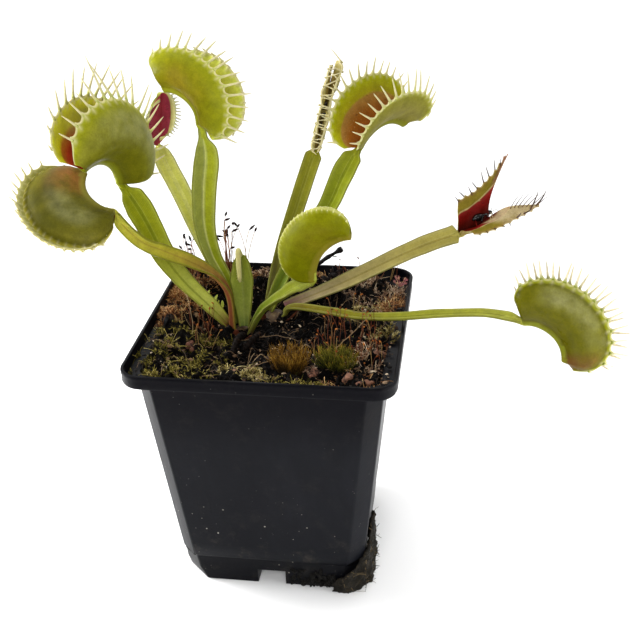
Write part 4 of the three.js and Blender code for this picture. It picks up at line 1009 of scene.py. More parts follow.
def stalk_body(form, leaf, seed):
    """The flat, winged leaf stalk with a channel on its upper face and a keel below."""
    u = np.linspace(0, 1, STALK["stations"])
    middle = catmull(leaf["path"], u)
    heading = unit(np.gradient(middle, axis=0))
    faces = np.asarray(leaf["faces"], float)
    face = faces[0] + (faces[1] - faces[0]) * u[:, None]
    right = unit(np.cross(heading, face))
    normal = np.cross(right, heading)
    left_half, right_half, fold = keyed(leaf["blade"], u)
    fold = np.radians(fold)[:, None]
    a = np.sin(np.linspace(-1, 1, STALK["columns"]) * math.pi / 2)
    share = np.abs(a)
    half = np.where(a < 0, left_half[:, None], right_half[:, None])
    reach = half * share
    shift = np.random.default_rng(seed).uniform(0, 6, 3)
    wave = (np.sin(u * 21 + shift[0]) + 0.6 * np.sin(u * 43 + shift[1]))[:, None]
    broad = np.clip(half / STALK["full_half"], 0, 1)
    wave = wave * share**3 * STALK["wave"] * np.sign(a + 0.01) * broad
    cup = -STALK["cup"] * share * (1 - share) * half
    channel = STALK["channel"] * np.exp(-((share / STALK["channel_width"]) ** 2))
    ridge = STALK["ridge"] * np.exp(-(((share - STALK["ridge_at"]) / STALK["ridge_width"]) ** 2))
    height = reach * np.sin(fold) + wave + cup + (ridge - channel) * broad
    spread = np.sign(a) * reach * np.cos(fold)
    upper = middle[:, None] + right[:, None] * spread[..., None] + normal[:, None] * height[..., None]
    slant = np.sign(a) * np.sin(fold)
    down = normal[:, None] * np.cos(fold)[..., None] - right[:, None] * slant[..., None]
    down = unit(np.where((share < 0.05)[None, :, None], normal[:, None], down))
    thick = BLADE["edge"] * 0.8 + (BLADE["keel"] - BLADE["edge"]) * np.exp(-(reach**2))
    thick = (thick * np.clip(np.minimum(u, 1 - u) / 0.012, 0.25, 1)[:, None])[..., None]
    lower = upper - down * thick

    ends = ((upper[:, k], -down[:, k], side, thick[:, k]) for k, side in ((0, -right), (-1, right)))
    rings = shell_rings(upper, lower, *ends, 40)
    under = np.concatenate([np.zeros(len(a) + 4), np.ones(len(a) + 2)])
    guide = np.stack(np.broadcast_arrays(u[:, None], shell_places(a)[None], under[None]), -1)
    form.add(*flat_body(rings), BLADE_SKIN, guide)


def neck_body(form, leaf):
    """The short round stalk that runs from under the blade into the cord along the trap's midrib."""
    trap = leaf["trap"]
    neck = np.asarray(leaf["path"][-1], float)
    face = unit(np.asarray(leaf["faces"][1], float))
    stem = catmull(leaf["path"], np.array([0.84, 0.9, 0.95])) - face * BLADE["keel"] * 0.5
    midrib, _, out, _ = lobe(neck, trap, np.array([0.03, 0.08, 0.14, 0.2]), 0.0)
    path = np.concatenate([stem, midrib + out * TRAP["keel"] * 0.5])
    t = np.linspace(0, 1, 24)
    radii = NECK_RADIUS * np.clip(np.minimum(t, 1 - t) / 0.14, 0.2, 1) ** 0.5
    form.add(*tube(catmull(path, t), radii, 12), BLADE_SKIN, (1, 0.5, 0))


def make_leaf(name, leaf, seed):
    """One leaf: its stalk, its trap and the bristles and hairs on the trap."""
    form = Form()
    neck = np.asarray(leaf["path"][-1], float)
    trap = leaf["trap"]
    look = dict(leaf["look"], cilia=leaf["cilia"][1])
    stalk_body(form, leaf, seed)
    neck_body(form, leaf)
    trap_body(form, neck, trap, seed)
    cilia(form, neck, trap, seed)
    trigger_hairs(form, neck, trap)
    materials = [
        petiole_paint(f"{name}_stalk", leaf["stalk"]),
        lobe_paint(f"{name}_outside", leaf["outer"], look),
        lobe_paint(f"{name}_inside", leaf["inner"], look, inside=True),
        cilia_paint(f"{name}_cilia", *leaf["cilia"]),
    ]
    if name == "leaf_e":
        materials.append(insect_remains(form, neck, trap))
    if name == "leaf_h":
        dry_fringe(form, neck, trap)
    return form.make(f"{name}_fine", materials, [name])


def dry_fringe(form, neck, trap):
    """Long thin bristles at the tip of the dying trap's lower lobe, curved upward."""
    count, length, thick, tip_u = 7, 4.4, 0.2, 0.95
    t = np.linspace(0, 1, 10)[:, None]
    for k, v in enumerate(np.linspace(0.62, 1, count)):
        point, _, out, ahead = lobe(neck, trap, tip_u, v)
        way = unit(ahead - out * (0.75 - 0.07 * k))
        path = point + way * (length + 0.4 * (k % 3)) * t + ahead * 1.2 * t**2 - way * 0.4
        form.add(*tube(path, thick * (1 - 0.65 * t[:, 0]), 6), CILIA, along_tube(t[:, 0], 6))


def insect_remains(form, neck, trap):
    """Dark husks left in the dried trap."""
    for k, u in enumerate((0.34, 0.52, 0.66)):
        point, _, out, _ = lobe(neck, trap, u, 0.0)
        form.add(*blob(point - out * 2.2, (0.6, 0.6, 1.1 - 0.2 * k), 7 + k, 0.6), REMAINS, (u, 0, 0))
    random = np.random.default_rng(6)
    count = 26
    u = random.uniform(0.15, 0.75, count)
    points, _, outs, _ = lobe(neck, trap, u, 0.0)
    ways = random.normal(0, 1, (count, 3))
    spikes(form, points - outs * 2, ways, random.uniform(1.2, 2.6, count), 0.12, 0.2, REMAINS)
    stops = [(0.3, (14, 12, 12)), (0.6, (40, 32, 26)), (0.8, (110, 104, 96))]
    return clouded("insect_remains", (900, 4), stops, 0.4, (2200, 0.2), Specular_IOR_Level=0.5)


def make_young_leaf():
    """The young leaf in the middle with the rolled bud at its tip."""
    form = Form()
    stalk_body(form, YOUNG, 5)
    t = np.linspace(0, 1, 40)
    swell = 0.75 + 0.25 * np.sin(t * math.pi)
    radii = YOUNG["bud_radius"] * swell * np.clip((1 - t) / 0.08, 0.15, 1) ** 0.5
    form.add(*tube(catmull(YOUNG["bud"], t), radii, 14), 1, (0.5, 0.5, 0))
    count = 26
    roots = catmull(YOUNG["bud"], np.linspace(0.35, 0.95, count))
    ways = np.array([(0.9 if k % 2 else -0.9, -0.4, -0.5) for k in range(count)])
    spikes(form, roots + unit(ways) * 0.6, ways, 0.8, 0.16, 0.2, 1, 0.5)
    bud = cilia_paint("young_bud", (176, 168, 96), (200, 192, 124))
    return form.make("leaf_young_fine", [petiole_paint("young_stalk", YOUNG["stalk"]), bud], ["leaf_young"])


# The pot


def filleted_corner(half, cut, soft, rounded, steps=12):
    """Points round one corner: an arc, or a chamfer with softened edges."""
    if rounded:
        turn = np.linspace(0, math.pi / 2, steps)
        return np.stack([half - cut + cut * np.cos(turn), half - cut + cut * np.sin(turn)], -1)
    slant = unit([-1, 1]) * soft
    ends = [
        (np.array([half, half - cut]), np.array([0, -soft]), slant),
        (np.array([half - cut, half]), -slant, np.array([-soft, 0])),
    ]
    s = np.linspace(0, 1, steps // 2)[:, None]
    points = []
    for corner, before, after in ends:
        points.append((1 - s) ** 2 * (corner + before) + 2 * s * (1 - s) * corner + s**2 * (corner + after))
    return np.concatenate(points)


def pot_ring(half, cut, z, rounded=False, soft=0.7, side_points=7, bow=0.0):
    """One level of the pot: four corners and the sides between them, bowed in a little."""
    ring = []
    for quarter in range(4):
        corner = filleted_corner(half, cut, soft, rounded)
        following = np.array([-corner[0][1], corner[0][0]])
        s = np.arange(1, side_points + 1)[:, None] / (side_points + 1)
        side = corner[-1] + (following - corner[-1]) * s
        side[:, 1] -= bow * np.sin(s[:, 0] * math.pi)
        turn = quarter * math.pi / 2
        spin = np.array([[math.cos(turn), math.sin(turn)], [-math.sin(turn), math.cos(turn)]])
        ring.append(np.concatenate([corner, side]) @ spin)
    ring = np.concatenate(ring)
    return np.column_stack([ring, np.full(len(ring), float(z))])


def solid_object(name, rings):
    form = Form()
    form.add(*round_body(np.stack(rings)))
    return form.make(name, [])


def cut_away(body, tool):
    change = body.modifiers.new("cut", "BOOLEAN")
    change.operation = "DIFFERENCE"
    change.solver = "EXACT"
    change.object = tool
    apply_modifiers(body)
    bpy.data.objects.remove(tool)


def apply_modifiers(piece):
    """Keeps what the modifiers make as the piece's own mesh."""
    graph = bpy.context.evaluated_depsgraph_get()
    mesh = bpy.data.meshes.new_from_object(piece.evaluated_get(graph))
    piece.modifiers.clear()
    piece.data = mesh


def box_object(name, size, centre, turn=0.0):
    mesh = bpy.data.meshes.new(name)
    edit = bmesh.new()
    bmesh.ops.create_cube(edit, size=1)
    bmesh.ops.scale(edit, verts=edit.verts, vec=Vector(size) * MM)
    bmesh.ops.translate(edit, verts=edit.verts, vec=Vector(centre) * MM)
    bmesh.ops.rotate(edit, verts=edit.verts, cent=(0, 0, 0), matrix=Matrix.Rotation(turn, 3, "Z"))
    edit.to_mesh(mesh)
    edit.free()
    made = bpy.data.objects.new(name, mesh)
    bpy.context.scene.collection.objects.link(made)
    return made


def pot_outside():
    top = POT["height"]
    under = top - POT["rim_height"]
    half = POT["side"] / 2
    radius = POT["rim_radius"]
    chamfer = POT["chamfer"]
    foot = POT["foot_half"]
    draft = POT["foot_draft"]
    step = POT["foot_height"]
    rings = [
        pot_ring(foot - 0.35, POT["foot_chamfer"], 0),
        pot_ring(foot, POT["foot_chamfer"] - 0.2, 0.35),
        pot_ring(foot + draft, chamfer + 1.0, step * 0.5),
        pot_ring(foot + draft, chamfer, step - 0.8),
        pot_ring(foot + draft + 0.15, chamfer, step - 0.3),
        pot_ring(POT["wall_foot_half"], chamfer, step + 0.3),
    ]
    for share in np.linspace(0.08, 0.94, 12):
        level = lerp(POT["wall_foot_half"], POT["shoulder_half"], share)
        bow = POT["bow"] * math.sin(share * math.pi)
        rings.append(pot_ring(level, chamfer, lerp(step, under, share), bow=bow))
    rings += [
        pot_ring(POT["shoulder_half"], chamfer, under - 1.2),
        pot_ring(POT["shoulder_half"] + 0.15, chamfer, under - 0.5),
        pot_ring(POT["shoulder_half"] + 0.9, chamfer + 0.5, under - 0.05),
    ]
    # The collar: how far each level lies inside its widest one, at the side and at the corner
    collar = [
        (1.1, 0.9, under + 0.05), (0.4, 0.35, under + 0.3), (0.12, 0, under + 0.9),
        (0.2, 0, under + 2.4), (0.05, 0, top - 1.2), (0, 0, top - 0.6),
        (0.12, 0.1, top - 0.22), (0.45, 0.4, top), (1.05, 1.0, top - 0.02),
    ]
    for inset, less, z in collar:
        rings.append(pot_ring(half - inset, radius - less, z, True))
    return rings


def pot_inside():
    wall = POT["wall"]
    cut = POT["chamfer"] - wall * (2 - math.sqrt(2))
    rim = POT["side"] / 2 - POT["lip"]
    corner = POT["rim_radius"] - POT["lip"]
    return [
        pot_ring(POT["foot_half"] - wall, POT["foot_chamfer"] - wall / 2, POT["floor"]),
        pot_ring(POT["wall_foot_half"] - wall, cut, POT["foot_height"]),
        pot_ring(POT["shoulder_half"] - wall, cut, SHELF - 0.4),
        pot_ring(POT["shoulder_half"] - wall + 0.3, cut, SHELF),
        pot_ring(rim - 0.35, corner, SHELF + 0.1, True),
        pot_ring(rim, corner, SHELF + 0.6, True),
        pot_ring(rim, corner, POT["height"] - 0.6, True),
        pot_ring(rim + 0.3, corner, POT["height"] - 0.1, True),
        pot_ring(rim + 0.4, corner, POT["height"] + 3, True),
    ]


def make_pot():
    """The moulded pot: outside less inside, with a notch and a drain hole in the middle of each side."""
    body = solid_object("pot_fine", pot_outside())
    space = solid_object("space", pot_inside())
    foot, depth, high = POT["foot_half"], POT["notch_depth"], POT["notch_height"]
    grow = POT["wall"]
    spare = 4
    for quarter in range(4):
        reach = depth + grow + spare
        size = (POT["notch_width"] + 2 * grow, reach, high + grow)
        place = (0, -(foot + spare - reach / 2), (high + grow) / 2)
        cut_away(space, box_object("hump", size, place, quarter * math.pi / 2))
    cut_away(body, space)
    for quarter in range(4):
        turn = quarter * math.pi / 2
        reach = depth + spare
        place = (0, -(foot + spare - reach / 2), (high - spare) / 2)
        cut_away(body, box_object("notch", (POT["notch_width"], reach, high + spare), place, turn))
        centre = np.array([0, -(foot - depth / 2 - POT["drain_shift"]), high])
        spin = np.array(Matrix.Rotation(turn, 3, "Z"))
        ends = np.array([centre - (0, 0, 1), centre + (0, 0, 3)]) @ spin.T
        drill = Form()
        drill.add(*tube(ends, POT["drain_hole"] / 2, 24))
        cut_away(body, drill.make("drill", []))
    soften = body.modifiers.new("soften", "BEVEL")
    soften.width = POT["soft_edge"] * MM
    soften.segments = 2
    soften.limit_method = "ANGLE"
    soften.angle_limit = math.radians(50)
    apply_modifiers(body)
    body.data.shade_smooth()
    body.data.set_sharp_from_angle(angle=math.radians(35))
    return dressed(body, [pot_paint()], ["pot"])


def pot_paint():
    """Satin black plastic with dust and specks low down and painted shade over the upper walls and rim; its
    heights are in metres.
    """
    paint = Paint("pot_plastic_fine", Specular_IOR_Level=0.06)
    height = paint.node("ShaderNodeSeparateXYZ", {0: paint.place}).outputs["Z"]
    smear = paint.noise(34, 6, 0.62, stretch=(1.0, 1.0, 0.35))
    body = paint.ramp(smear, [(0.3, (15, 16, 20)), (0.55, (19, 20, 24)), (0.8, (27, 28, 33))])
    # Painted shade: from the middle of the walls up to the rim the plastic turns darker.
    body = paint.mix(paint.span(height, 0.055, 0.085), body, (4, 4, 9))
    low = paint.span(height, 0.03, 0.0)
    dust = paint.times(paint.span(paint.noise(120, 8, 0.75), 0.5, 0.72), 0.22)
    body = paint.cover(body, dust, paint.plus(low, 0.1), (116, 108, 94))
    small = paint.times(paint.span(paint.cells(410), 0.1, 0.05), paint.span(paint.noise(90), 0.4, 0.6))
    speck = paint.math("MAXIMUM", paint.span(paint.cells(230), 0.085, 0.04), paint.times(small, 0.6))
    patch = paint.span(paint.noise(46, 2), 0.46, 0.6)
    where = paint.times(patch, paint.span(height, 0.05, 0.012, 0.15, 1.0))
    body = paint.cover(body, speck, where, (190, 184, 172))
    body = paint.cover(body, paint.span(height, 0.0125, 0.0105), 0.6, (6, 6, 9))
    paint.colour(body)
    rough = paint.span(smear, 0.3, 0.75, 0.3, 0.42)
    paint.rough(paint.plus(rough, paint.times(dust, 0.3)))
    scratch = paint.span(paint.noise(420, 3, 0.6, stretch=(1.0, 1.0, 0.06)), 0.62, 0.72)
    fine = paint.plus(paint.noise(900, 4), paint.times(scratch, 0.5))
    paint.bump(paint.plus(fine, paint.times(paint.noise(45), 3.0)), 0.1, 0.35)
    return paint.material


# The ground. Moss cushions have a place, half sizes, rise, kind of shoot and how many.

CUSHIONS = [
    ((-37, 22), (7, 10), 3.4, "rust", 640),
    ((-35, 37), (8, 6), 3.4, "rust", 400),
    ((-22, 38), (8, 5), 2.6, "rust", 300),
    ((-10, 38), (6, 5), 3.4, "pink", 300),
    ((-39, 4), (4, 9), 1.4, "rust", 280),
    ((-33, -8), (8, 7), 1.2, "green", 300),
    ((-37, -24), (7, 11), 1.8, "green", 480),
    ((-28, -36), (13, 5), 1.2, "green", 380),
    ((-22, -22), (8, 8), 1.6, "green", 380),
    ((-20, -8), (6, 5), 1.0, "green", 160),
    ((-4, -33), (9, 6), 1.6, "straw", 420),
    ((12, -37), (10, 4), 1.0, "green", 240),
    ((17, -25), (3.5, 4), 1.6, "pink", 120),
    ((33, -18), (7, 8), 2.0, "pink", 420),
    ((30, -34), (9, 5), 1.2, "rust", 260),
    ((24, -6), (6, 5), 1.0, "green", 160),
    ((38, -2), (4, 8), 1.4, "straw", 240),
    ((32, 32), (9, 8), 3.4, "pink", 560),
    ((38, 18), (4.5, 9), 2.2, "rust", 320),
    ((20, 37), (8, 6), 2.4, "pink", 380),
    ((30, 16), (7, 6), 1.4, "straw", 320),
    ((5, 39), (7, 4), 1.6, "rust", 240),
]
# How far from the middle moss may root, and loose growth may lie
MOSS_HALF = 42.6
GROWTH_HALF = 42
MOSS_COLOURS = {
    "rust": [(0.0, (14, 7, 4)), (0.35, (70, 40, 22)), (0.65, (150, 98, 58)), (0.95, (224, 184, 128))],
    "pink": [(0.0, (16, 10, 8)), (0.35, (84, 58, 44)), (0.65, (158, 124, 98)), (0.95, (232, 210, 178))],
    "green": [(0.0, (6, 6, 2)), (0.4, (54, 52, 16)), (0.7, (126, 114, 44)), (1.0, (216, 198, 116))],
    "straw": [(0.0, (14, 10, 6)), (0.35, (80, 68, 32)), (0.65, (158, 140, 76)), (0.95, (230, 214, 154))],
}


# Factor on a cushion's count, size of its patches and which of them stay bare, lengths of a shoot and of a
# curly strand, and the share of shoots that have such a strand beside them
MOSS = {"crowd": 1.25, "patch": 3.2, "bare": -0.02, "shoot": (0.8, 2.2), "strand": (1.4, 3.6), "curly": 0.42}


def ground(x, y):
    """Height of the peat: the model's waves and hollow, lifted at its edges and under the cushions."""
    x, y = np.asarray(x, float), np.asarray(y, float)
    waves = np.sin(x * 0.31 + 1.3) * np.cos(y * 0.27 - 0.6) + 0.6 * np.sin(x * 0.63 + y * 0.51)
    middle = np.mean(CROWNS, 0)
    away = np.hypot(x - middle[0], y - middle[1]) / PEAT["hollow_radius"]
    height = PEAT["top"] + PEAT["relief"] * waves - PEAT["hollow_depth"] * np.exp(-away * away)
    swell = lerp(PEAT["swell_left"], PEAT["swell_right"], smoothstep(-20, 25, x))
    height = height + swell * smoothstep(PEAT["swell_from"], PEAT["half"], np.maximum(np.abs(x), np.abs(y)))
    for at, size, rise, _, _ in CUSHIONS:
        far = np.hypot((x - at[0]) / size[0], (y - at[1]) / size[1])
        height = height + rise * 0.6 * np.exp(-(far**2) * 1.4)
    return height


# Lumps of the peat's skin as size and height, then the ridged ones; its rounded edge, the gap at the pot's
# corners, how much narrower its bottom is and how far above the notches that lies
PEAT_SKIN = {"steps": 190, "lumps": ((5.0, 1.3), (2.3, 1.3), (1.1, 0.9)), "ridges": (1.7, 1.2),
             "edge": 1.2, "edge_drop": 1.5, "corner_gap": 0.6, "taper": 0.82, "over_notch": 3}


def make_peat():
    """The peat's body with a finely lumped top."""
    count = PEAT_SKIN["steps"]
    half = PEAT["half"]
    line = np.linspace(-half, half, count)
    x, y = np.meshgrid(line, line, indexing="ij")
    flat = np.stack([x, y, 0 * x], -1)
    z = ground(x, y)
    for size, height in PEAT_SKIN["lumps"]:
        z = z + height * cloud(flat, size, int(size * 10))
    size, height = PEAT_SKIN["ridges"]
    z = z + height * np.abs(cloud(flat, size, 5))
    edge = np.minimum(half - np.abs(x), half - np.abs(y))
    z = z - PEAT_SKIN["edge_drop"] * np.clip(1 - edge / PEAT_SKIN["edge"], 0, 1) ** 2
    corner = 2 * half - POT["chamfer"] + PEAT_SKIN["corner_gap"]
    beyond = np.clip(np.abs(x) + np.abs(y) - corner, 0, None)
    top = np.stack([x - np.sign(x) * beyond / 2, y - np.sign(y) * beyond / 2, z], -1).reshape(-1, 3)
    ids = np.arange(count * count).reshape(count, count)
    quads = np.stack([ids[:-1, :-1], ids[1:, :-1], ids[1:, 1:], ids[:-1, 1:]], -1).reshape(-1, 4)
    rim = np.concatenate([ids[0, :-1], ids[:-1, -1], ids[-1, :0:-1], ids[:0:-1, 0]])
    taper = PEAT_SKIN["taper"]
    bottom = POT["floor"] + POT["notch_height"] + PEAT_SKIN["over_notch"]
    low = top[rim] * (taper, taper, 0) + (0, 0, bottom)
    points = np.concatenate([top, low, [[0, 0, low[0][2]]]])
    k = np.arange(len(rim))
    after = (k + 1) % len(rim)
    walls = np.stack([rim, rim[after], len(top) + after, len(top) + k], -1)
    base = np.stack([len(top) + k, len(top) + after, np.full(len(rim), len(points) - 1)], -1)
    form = Form()
    form.add(points, [np.concatenate([quads, walls]), base])
    return form.make("peat_fine", [peat_paint()], ["peat"])


def peat_paint():
    paint = Paint("peat_fine", Specular_IOR_Level=0.04)
    body = paint.ramp(paint.noise(420, 8, 0.7), [(0.34, (2, 2, 2)), (0.54, (9, 7, 6)), (0.66, (30, 22, 16)),
                                                 (0.8, (74, 56, 40))])
    body = paint.mix(paint.span(paint.noise(90), 0.42, 0.6, 0.1, 0.95), body, (3, 2, 2))
    paint.colour(body)
    paint.rough(paint.span(paint.noise(240), 0.35, 0.65, 0.35, 0.95))
    paint.bump(paint.noise(1300, 8, 0.75), 0.7, 0.9)
    return paint.material


def crumb(random, sides=6):
    """A small irregular crumb round the origin: two rings and two tips."""
    turn = np.arange(sides) / sides * 2 * math.pi + random.uniform(0, 1)
    low = random.uniform(0.55, 1.15, sides)
    high = random.uniform(0.45, 1.0, sides)
    rings = np.stack([
        np.stack([np.cos(turn) * low, np.sin(turn) * low, np.full(sides, -0.3)], -1),
        np.stack([np.cos(turn + 0.3) * high, np.sin(turn + 0.3) * high, np.full(sides, 0.35)], -1),
    ])
    points, faces = round_body(rings)
    points[-2] += (0, 0, -0.35)
    points[-1] += (random.uniform(-0.3, 0.3), random.uniform(-0.3, 0.3), 0.3)
    return points, faces


def ground_level(x, y):
    """Height that something lies at: the peat, or the ledge inside the rim."""
    beyond = np.maximum(np.abs(x), np.abs(y)) > PEAT["half"]
    return np.where(beyond, np.maximum(ground(x, y), SHELF), ground(x, y))


def make_crumbs():
    """Loose crumbs, chips of bark and pale scraps on the ground."""
    random = np.random.default_rng(31)
    form = Form()
    kinds, count, small_share = 14, 2300, 0.86
    shapes = [crumb(random) for _ in range(kinds)]
    for x, y in random.uniform(-GROWTH_HALF, GROWTH_HALF, (count, 2)):
        size = random.uniform(0.25, 0.6) if random.random() < small_share else random.uniform(0.7, 1.4)
        points, faces = shapes[random.integers(len(shapes))]
        stretch = np.array([1, random.uniform(0.4, 1), random.uniform(0.4, 0.9)]) * size
        spin = Matrix.Rotation(random.uniform(0, 6.3), 3, "Z")
        spin = spin @ Matrix.Rotation(random.uniform(-0.8, 0.8), 3, "X")
        place = (x, y, ground_level(x, y) + random.uniform(0.2, 1.4))
        guide = (random.random(), random.random(), 0)
        form.add((points * stretch) @ np.array(spin).T + place, faces, 0, guide)
    stops = [(0.0, (4, 3, 3)), (0.5, (18, 13, 9)), (0.78, (58, 40, 28)), (0.93, (150, 118, 88)),
             (1.0, (226, 206, 176))]
    paint, shine = toned("peat_crumb", stops, (0.6, 900), Specular_IOR_Level=0.12)
    paint.rough(paint.span(shine, 0.0, 1.0, 0.4, 0.9))
    paint.bump(paint.noise(2500, 5), 0.2, 0.8)
    return form.make("peat_crumbs", [paint.material], sharp=40)


def make_moss(kind, seed):
    """The cushions of one kind: short shoots with small pointed leaves all round."""
    random = np.random.default_rng(seed)
    form = Form()
    for at, size, _, its_kind, count in CUSHIONS:
        if its_kind != kind:
            continue
        count = int(count * MOSS["crowd"])
        far = np.sqrt(random.uniform(0, 1, count)) * random.uniform(0.8, 1.2, count)
        turn = random.uniform(0, 2 * math.pi, count)
        spread = np.stack([np.cos(turn), np.sin(turn)], -1) * far[:, None]
        place = np.clip(at + spread * size, -MOSS_HALF, MOSS_HALF)
        keep = cloud(np.column_stack([place, 0 * far]), MOSS["patch"], 2) > MOSS["bare"]
        place, spread = place[keep], spread[keep]
        base = np.column_stack([place, ground_level(*place.T) - 0.2])
        lean = np.column_stack([spread * 0.5, np.ones(len(place))])
        lean = lean + random.normal(0, 0.28, (len(place), 3))
        moss_shoots(form, random, base, unit(lean), random.uniform(*MOSS["shoot"], len(place)))
        curly = random.uniform(0, 1, len(place)) < MOSS["curly"]
        moss_strands(form, random, base[curly], unit(lean[curly]))
    return form.make(f"moss_{kind}_cushions", [moss_paint(f"moss_{kind}", MOSS_COLOURS[kind])])


def moss_shoots(form, random, base, up, height):
    """Shoots with three whorls of three leaves each."""
    count = len(base)
    tone = random.uniform(0, 1, count)
    helper = np.where(np.abs(up[:, 2:3]) < 0.9, [[0, 0, 1.0]], [[1.0, 0, 0]])
    side = unit(np.cross(up, helper))
    other = np.cross(up, side)
    whorls, leaves, twist = 3, 3, 0.17
    for level in range(whorls):
        share = (level + 0.7) / whorls
        for k in range(leaves):
            turn = (k / leaves + level * twist) * 2 * math.pi + random.uniform(-0.4, 0.4, count)
            out = side * np.cos(turn)[:, None] + other * np.sin(turn)[:, None]
            root = base + up * (height * share)[:, None] * 0.85
            lengths = height * 0.25 + random.uniform(0.35, 0.7, count)
            spikes(form, root, out * (1.1 - 0.8 * share) + up * (0.55 + share), lengths, 0.11,
                   random.uniform(0, 0.3, count), 0, tone * 0.75 + share * 0.25)


def moss_strands(form, random, base, up):
    """Curly strands that stand out of a cushion and hang over at their pale tips."""
    t = np.linspace(0, 1, 6)
    for root, way in zip(base, up):
        length = random.uniform(*MOSS["strand"])
        bend = np.cross(way, random.normal(0, 0.6, 3)) * length
        path = root + way * length * t[:, None] + bend * (t**2)[:, None]
        path = path - (0, 0, 1) * (random.uniform(0, 0.6) * length * t**3)[:, None]
        guide = along_tube(t, 3)
        guide[:, 0] = random.uniform(0.2, 1.0)
        form.add(*tube(path, 0.13 * (1 - 0.5 * t), 3), 0, guide)


def moss_paint(name, stops):
    paint = Paint(name, Specular_IOR_Level=0.08)
    tone, share, _ = paint.guide()
    patch = paint.times(paint.math("SUBTRACT", paint.noise(170, 4), 0.5), 0.8)
    value = paint.plus(paint.times(paint.plus(tone, patch), 0.75), paint.times(share, 0.3))
    paint.colour(paint.ramp(value, stops))
    paint.rough(0.75)
    return paint.material


TUFTS = {
    "moss_tuft_golden": {
        "at": (8.5, -26), "radius": 4.2, "height": 12, "shoots": 130, "leaves": 12, "lean": 16, "seed": 11,
        "leaf": (1.8, 3.6), "gather": 1.5,
        "colours": [(0.0, (10, 6, 2)), (0.35, (46, 32, 8)), (0.65, (130, 92, 26)), (0.88, (200, 156, 62)),
                    (1.0, (236, 204, 120))]},
    "moss_tuft_green": {
        "at": (23, -21), "radius": 4.6, "height": 8.0, "shoots": 130, "leaves": 11, "lean": 26, "seed": 23,
        "leaf": (1.6, 3.0), "gather": 1.2,
        "colours": [(0.0, (9, 9, 3)), (0.35, (52, 54, 12)), (0.65, (118, 112, 32)), (0.85, (186, 134, 52)),
                    (1.0, (222, 166, 96))]},
}


def make_tuft(name, tuft):
    """A dense tuft of upright shoots with fine needle leaves all round them."""
    random = np.random.default_rng(tuft["seed"])
    form = Form()
    x, y = tuft["at"]
    t = np.linspace(0, 1, 6)
    levels = np.linspace(0.12, 1.0, tuft["leaves"])
    for k in range(tuft["shoots"]):
        away = math.sqrt((k + 0.5) / tuft["shoots"])
        turn = k * GOLDEN_ANGLE + random.uniform(0, 0.5)
        lean = math.radians(tuft["lean"]) * away * random.uniform(0.4, 1.5)
        out = np.array([math.cos(turn), math.sin(turn), 0])
        foot = np.array([x, y, 0]) + out * away * tuft["radius"]
        foot[2] = ground(foot[0], foot[1]) - 0.4
        height = tuft["height"] * random.uniform(0.5, 0.95) * (1 - 0.25 * away)
        way = out * math.sin(lean) + np.array([0, 0, math.cos(lean)])
        path = foot + way * height * t[:, None] + out * (t**2)[:, None] * height * 0.12
        form.add(*tube(path, 0.13 * (1 - 0.6 * t), 3), 0, (0.2, 0, 0))
        spin = np.arange(tuft["leaves"]) * GOLDEN_ANGLE + random.uniform(0, 6)
        radial = np.stack([np.cos(spin), np.sin(spin), 0 * spin], -1)
        ways = radial * 0.4 + way * tuft["gather"] + random.normal(0, 0.12, (len(spin), 3))
        tone = levels * 0.6 + random.uniform(-0.1, 0.2)
        spikes(form, catmull(path, levels), ways, random.uniform(*tuft["leaf"]), 0.1, 0.05, 0, tone)
    return form.make(f"{name}_fine", [moss_paint(f"{name}_leaves", tuft["colours"])], [name])


# A straw's radius, how far from the middle a fibre may start, and the paths of the straws on the peat
STRAW_RADIUS = 0.15
PEAT_REACH = 39
STRAWS = [
    [(-44, 8, 91), (-37, -2, 88.5), (-29, -13, 87)],
    [(-36, 14, 94), (-31, 2, 89), (-27, -15, 86)],
    [(-30, 22, 92), (-28, 8, 88), (-26, -6, 86)],
    [(-5, -30, 88), (3, -24, 88.5), (8, -10, 86)],
    [(22, -14, 88), (30, -6, 93), (36, 6, 97)],
    [(-42, -16, 90), (-30, -19, 88), (-24, -30, 88)],
    [(-12, -8, 86), (0, -6, 87.5), (10, -7, 86)],
    [(28, 14, 89), (30, 4, 93), (27, -6, 98)],
    [(35, 12, 90), (38, 2, 91), (33, -10, 89)],
]


def make_fibres():
    """Straws, root fibres and fine hairs on the peat."""
    random = np.random.default_rng(47)
    form = Form()
    t = np.linspace(0, 1, 14)
    for route in STRAWS:
        path = catmull(route, t) + random.normal(0, 0.12, (len(t), 3))
        form.add(*tube(path, STRAW_RADIUS * (1 - 0.5 * t), 6), 0, (random.uniform(0.5, 0.9), 0, 0))
    count, reach, steps = 520, 41, 7
    t = np.linspace(0, 1, steps + 1)
    for start in random.uniform(-PEAT_REACH, PEAT_REACH, (count, 2)):
        length = random.uniform(2, 7)
        heading = random.uniform(0, 2 * math.pi) + random.normal(0, 0.9) * t
        walk = np.cumsum([np.cos(heading), np.sin(heading)], 1) * length / steps
        px, py = np.clip(start[:, None] + walk, -reach, reach)
        arch = random.uniform(0, 1.8) * np.sin(t * math.pi)
        pz = ground_level(px, py) + 0.5 + arch + 0.15 * random.normal(0, 1, len(t))
        path = np.stack([px, py, pz], -1)
        form.add(*tube(path, random.uniform(0.06, 0.13), 4), 0, (random.uniform(0, 0.95), 0, 0))
    stops = [(0.0, (18, 12, 8)), (0.5, (66, 48, 32)), (0.8, (140, 112, 78)), (1.0, (184, 158, 120))]
    paint, _ = toned("straw", stops, (0.4, 700), Specular_IOR_Level=0.3)
    paint.rough(0.6)
    paint.bump(paint.noise(1800), 0.1, 0.6)
    return form.make("straws_and_fibres", [paint.material])


